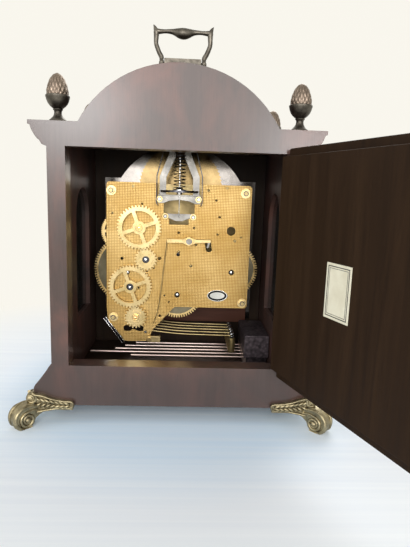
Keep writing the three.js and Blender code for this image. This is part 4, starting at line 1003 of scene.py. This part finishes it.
def make_trains():
    """Barrels with their great wheels, which show beside and below the plate."""
    module, thick = 0.7, 2.2
    for name, teeth, r, y1 in (("chime", 84, 20, -1), ("time", 66, 19, -1), ("strike", 60, 17.5, 5.4)):
        spot = BARRELS[name]
        body = f"{name}_barrel"
        y0 = y1 - thick
        root = module * teeth / 2 - 2.9
        outline = shifted(gear_outline(teeth, module, 0, 0.85, 2.3), *spot)
        rim = prism(outline, y0, y1, [circle(*spot, root, 72)])
        piece(f"{name}_great_teeth", rim, great_teeth, body, stands_for=body, bevel=0.1)
        drum = [(0.1, -30), (r - 0.6, -30), (r, -29.4), (r, -28.2), (r - 0.7, -27.8), (r - 0.7, -8.2),
                (r, -7.8), (r, -6.6), (r - 0.6, -6), (0.1, -6)]
        web = prism(circle(*spot, root + 0.05, 72), y0 + 0.25, y1 - 0.25)
        shaft = [bar(*spot, 2.2, -36, 9.2, 24), bar(*spot, 4, y1 - 0.4, y1 + 1.2, 32),
                 turned([(2.3, -53), (2.3, -35)], spot, "Y", 4)]
        whole = joined(turned(drum, spot, "Y", 64), web, *shaft)
        piece(f"{name}_drum", whole, shaded_great_wheel, body, stands_for=body, bevel=0.15)
        tip = raised([(1.5, -PLATE), (1.5, 0.4), (1.1, 0.8), (0.1, 1)], PLATE)
        piece(f"{name}_pivot", turned(tip, spot, "Y", 24), nickel, body, stands_for=body)
    dress("chime_second_wheel", great_teeth)
    dress("front_plate", brass_dull)


def make_lever():
    y0, y1 = 14.2, 15.6
    outline = rounded([
        (9.4, 118.8, 0.6), (9.4, 115.9, 0.6), (-3, 116, 0), (-5.4, 115.2, 1), (-8.8, 113.6, 2.4),
        (-12.2, 115.2, 1), (-15, 116.4, 0), (-26.5, 116.8, 0.6), (-26.5, 118.9, 0.6), (-15, 118.8, 0),
        (-12, 119.6, 1), (-8.8, 121, 2.4), (-5.6, 119.5, 1), (-3, 118.9, 0)], 5)
    finger = rounded([(-24.6, 117.2, 0), (-26.4, 117.4, 0.4), (-24.6, 112, 0.5), (-23.2, 112.4, 0.5)], 4)
    for name, shape, material, bevel in (
            ("bar", joined(prism(outline, y0, y1), bar(*LEVER, 1.2, PLATE + 0.3, y1, 16)), brass_pale, 0.15),
            ("finger", prism(finger, y0 - 0.9, y0 - 0.1), steel, 0.12)):
        piece(f"lever_{name}", shape, material, "rear_lever", stands_for="rear_lever", bevel=bevel)
    piece("lever_washer", washer(*LEVER, y1 + 0.02, 3.3, 1.2, 0.4), brass, "rear_lever", bevel=0.1)
    head = cheese_screw(*LEVER, y1 + 0.42, 2.5, 0.9, 35)
    piece("lever_screw", head, steel, "rear_lever", bevel=0.12)
    path = [(9.2, 14, 116.6), (11, 14, 100), (13.6, 14, 75), (16, 13.8, 58), (19.6, 13, 47)]
    piece("release_wire", tube(smooth_path(path, 6), 0.32, 8), brass_dull)


def make_cradle():
    """Floating balance: bent steel guards, a sloping fork, the arched bridge and its feet."""
    y = BALANCE_Y
    sheet = (y - 1.9, y + 2)
    edge = 0.7

    def part(name, shape, material, bevel=0):
        piece(name, shape, material, bevel=bevel, stands_for="balance_cradle")

    for side, name in ((1, "right"), (-1, "left")):
        guard = [(13.4, 196.6), (13.4, 188.2), (18.5, 169.4), (18.5, 155), (18.9, 149.4), (18.3, 146.8),
                 (16.8, 145.9)]
        strip = guard + [(x - edge, z) for x, z in reversed(guard)]
        part(f"cradle_guard_{name}", prism([(side * x, z) for x, z in strip], *sheet), steel_dark, 0.12)
        arm = [(8.6, 196.6), (3.6, 196.6), (3.6, 184), (10.6, 168), (10.9, 154), (15.9, 154), (16, 169),
               (8.6, 187)]
        part(f"cradle_arm_{name}", prism([(side * x, z) for x, z in arm], y - 1, y - 0.2), steel, 0.12)
    upper = both_sides([(-17.2, 154.2), (-17.2, 147.7), (-12.6, 147.7), (-8, 149.6)])
    upper.insert(4, (0, 150.6))
    lower = both_sides([(-12.9, 139.4), (-12.9, 136.2), (-8, 135.8), (-3, 133.6)])
    bridge = [prism(outline, y - 1.9, y - 0.9) for outline in (upper, lower)]
    bridge += [block((-17, 17), sheet, (153.8, 154.6)), block((-13.6, 13.6), sheet, (193.4, 197))]
    part("cradle_bridge", joined(*bridge), steel, 0.15)
    part("tension_wire", turned([(0.4, 136.4), (0.4, 195)], (0, y), "Z", 12), nickel)
    seats = ((16, 150.8), (-15.6, 151.2), (11, 137.2), (-11.6, 137))
    washers = [washer(x, z, y - 0.88, 2.5, 0.9, 0.5) for x, z in seats]
    heads = [cheese_screw(x, z, y - 0.4, 1.15, 0.8, 20 + 50 * i) for i, (x, z) in enumerate(seats)]
    rings = [washer(x, z, y - 0.38, 1.6, 1.1, 0.12) for x, z in seats]
    part("cradle_washers", joined(*washers), brass_pale, 0.1)
    part("cradle_screws", joined(*heads), nickel, 0.08)
    part("cradle_screw_rings", joined(*rings), black, 0)


def make_balance():
    y, z = BALANCE_Y, BALANCE_Z
    rim = prism(circle(0, 0, 15.3, 96), -0.8, 0.8, spoke_windows(2, 4.4, 12.9, 1.5, 0))
    lay = Matrix.Translation((0, y, z)) @ Matrix.Rotation(radians(90), 4, "X")
    hub = raised([(1, -2.4), (2.1, -2.4), (2.2, -0.8), (5.4, 0.8), (5.4, 1.4), (3.2, 1.8), (2.4, 2.6),
                  (2.2, 3.4), (1, 3.4)], z)
    for name, shape, material, bevel in (("rim", placed(rim, lay), steel_dark, 0.25),
                                         ("collet", turned(hub, (0, y), "Z", 32), nickel, 0)):
        piece(f"balance_{name}", shape, material, "balance_wheel", stands_for="balance_wheel", bevel=bevel)
    r, turns, steps = 4.6, 12, 20
    bottom, top = z + 2.7, 192.4
    coil = [(r, y, z + 1.9)]
    for i in range(turns * steps + 1):
        a = TAU * i / steps
        coil.append((r * cos(a), y + r * sin(a), bottom + (top - bottom) * i / (turns * steps)))
    coil.append((r, y, top + 0.3))
    piece("balance_spring", tube(coil, 0.34, 8), steel_dark, stands_for="hairspring")


def make_chime():
    dress("chime_block", iron, 1.6)
    rods = [block((-60.9, -58.5), (-30.7, 9.7), (12.5, 20.7))]
    for y, x in zip(ROD_Y, (38.8, 75.4, 54.9, 47, 38)):
        profile = [(0.75, -58.4), (0.75, -55), (1.1, -53), (1.1, x - 0.2), (0.9, x)]
        rods.append(turned(profile, (y, 16.3), "X", 20))
    piece("rod_set", joined(*rods), rod_metal, stands_for="chime_rods")
    dress("hammer_arbor", steel)
    px, pz = HAMMER_PIVOT
    low, high = HAMMER_Z
    drum_x, drum_z = gear_places()[3]
    distance = hypot(drum_x - px, drum_z - pz)
    share = (distance - 8.5) / distance
    head = [(0.1, low), (2.5, low), (2.9, low + 0.5), (3.1, low + 1.4), (3.1, high - 0.6), (2.6, high),
            (0.1, high)]
    tip = raised([(1.4, -0.1), (2.3, 0.2), (2.4, 1.6), (1.5, 2), (1.5, 3), (2.1, 3.3), (2, 4.4),
                  (0.1, 4.9)], high)
    for i, y in enumerate(ROD_Y):
        body = f"chime_hammer_{i + 1}"
        path = [(px - 1.8, y, pz), (px - 14, y, pz - 1.4), (px - 32, y, pz - 2.8),
                (HAMMER_X, y, high + 1.9)]
        tail = [(px + 1, y, pz + 1.6), (px + (drum_x - px) * share, y, pz + (drum_z - pz) * share)]
        arm = joined(bar(px, pz, 3, y - 1.9, y + 1.9, 28, 0.3), tube(smooth_path(path), 0.55, 10),
                     tube(tail, 0.9, 10))
        for name, shape, material in (("arm", arm, brass_dull),
                                      ("head", turned(head, (HAMMER_X, y), "Z", 32), brass_dull),
                                      ("tip", turned(tip, (HAMMER_X, y), "Z", 24), nickel)):
            piece(f"{body}_{name}", shape, material, body, stands_for=body)


# ---- dial


def make_dial():
    dress("dial_plate", dial_back)
    dress("chapter_ring", silvered, 0.15)
    dress("moon_disc", moon_back)
    front = DIAL_FRONT
    marks = []
    for minute in range(60):
        wide, inner = (0.55, 59.2) if minute % 5 == 0 else (0.22, 60)
        a = radians(90 - 6 * minute)
        c, s = cos(a), sin(a)
        corners = [(inner, -wide), (61, -wide), (61, wide), (inner, wide)]
        outline = [(r * c - w * s, DIAL_Z + r * s + w * c) for r, w in corners]
        marks.append(prism(outline, front - 0.12, front))
    for r in (59.2, 52.7):
        marks.append(prism(circle(0, DIAL_Z, r, 96), front - 0.12, front, [circle(0, DIAL_Z, r - 0.25, 96)]))
    piece("minute_track", joined(*marks), ink)
    numerals = ("XII", "I", "II", "III", "IIII", "V", "VI", "VII", "VIII", "IX", "X", "XI")
    stand = Matrix.Rotation(radians(90), 4, "X") @ Matrix.Diagonal((0.72, 1, 1, 1))
    for hour, text in enumerate(numerals):
        font = bpy.data.curves.new(f"numeral_{hour}", "FONT")
        font.body = text
        font.size = 8 * MM
        font.offset = 0.1 * MM
        font.extrude = 0.06 * MM
        font.align_x = font.align_y = "CENTER"
        font.materials.append(ink)
        a = radians(90 - 30 * hour)
        spot = Vector((55.8 * cos(a), front - 0.07, DIAL_Z + 55.8 * sin(a))) * MM
        numeral = bpy.data.objects.new(f"numeral_{hour or 12}", font)
        numeral.matrix_world = Matrix.Translation(spot) @ Matrix.Rotation(radians(30 * hour), 4, "Y") @ stand
        scene.collection.objects.link(numeral)
        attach(numeral, "clock_case")
    dress("hour_hand", black, 0.2)
    dress("minute_hand", black, 0.2)


make_case()
make_label()
make_knobs()
make_finials()
make_feet()
make_handle()
make_back_plate()
make_fasteners()
make_badge()
make_chime_gears()
make_trains()
make_small_parts()
make_lever()
make_cradle()
make_balance()
make_chime()
make_dial()
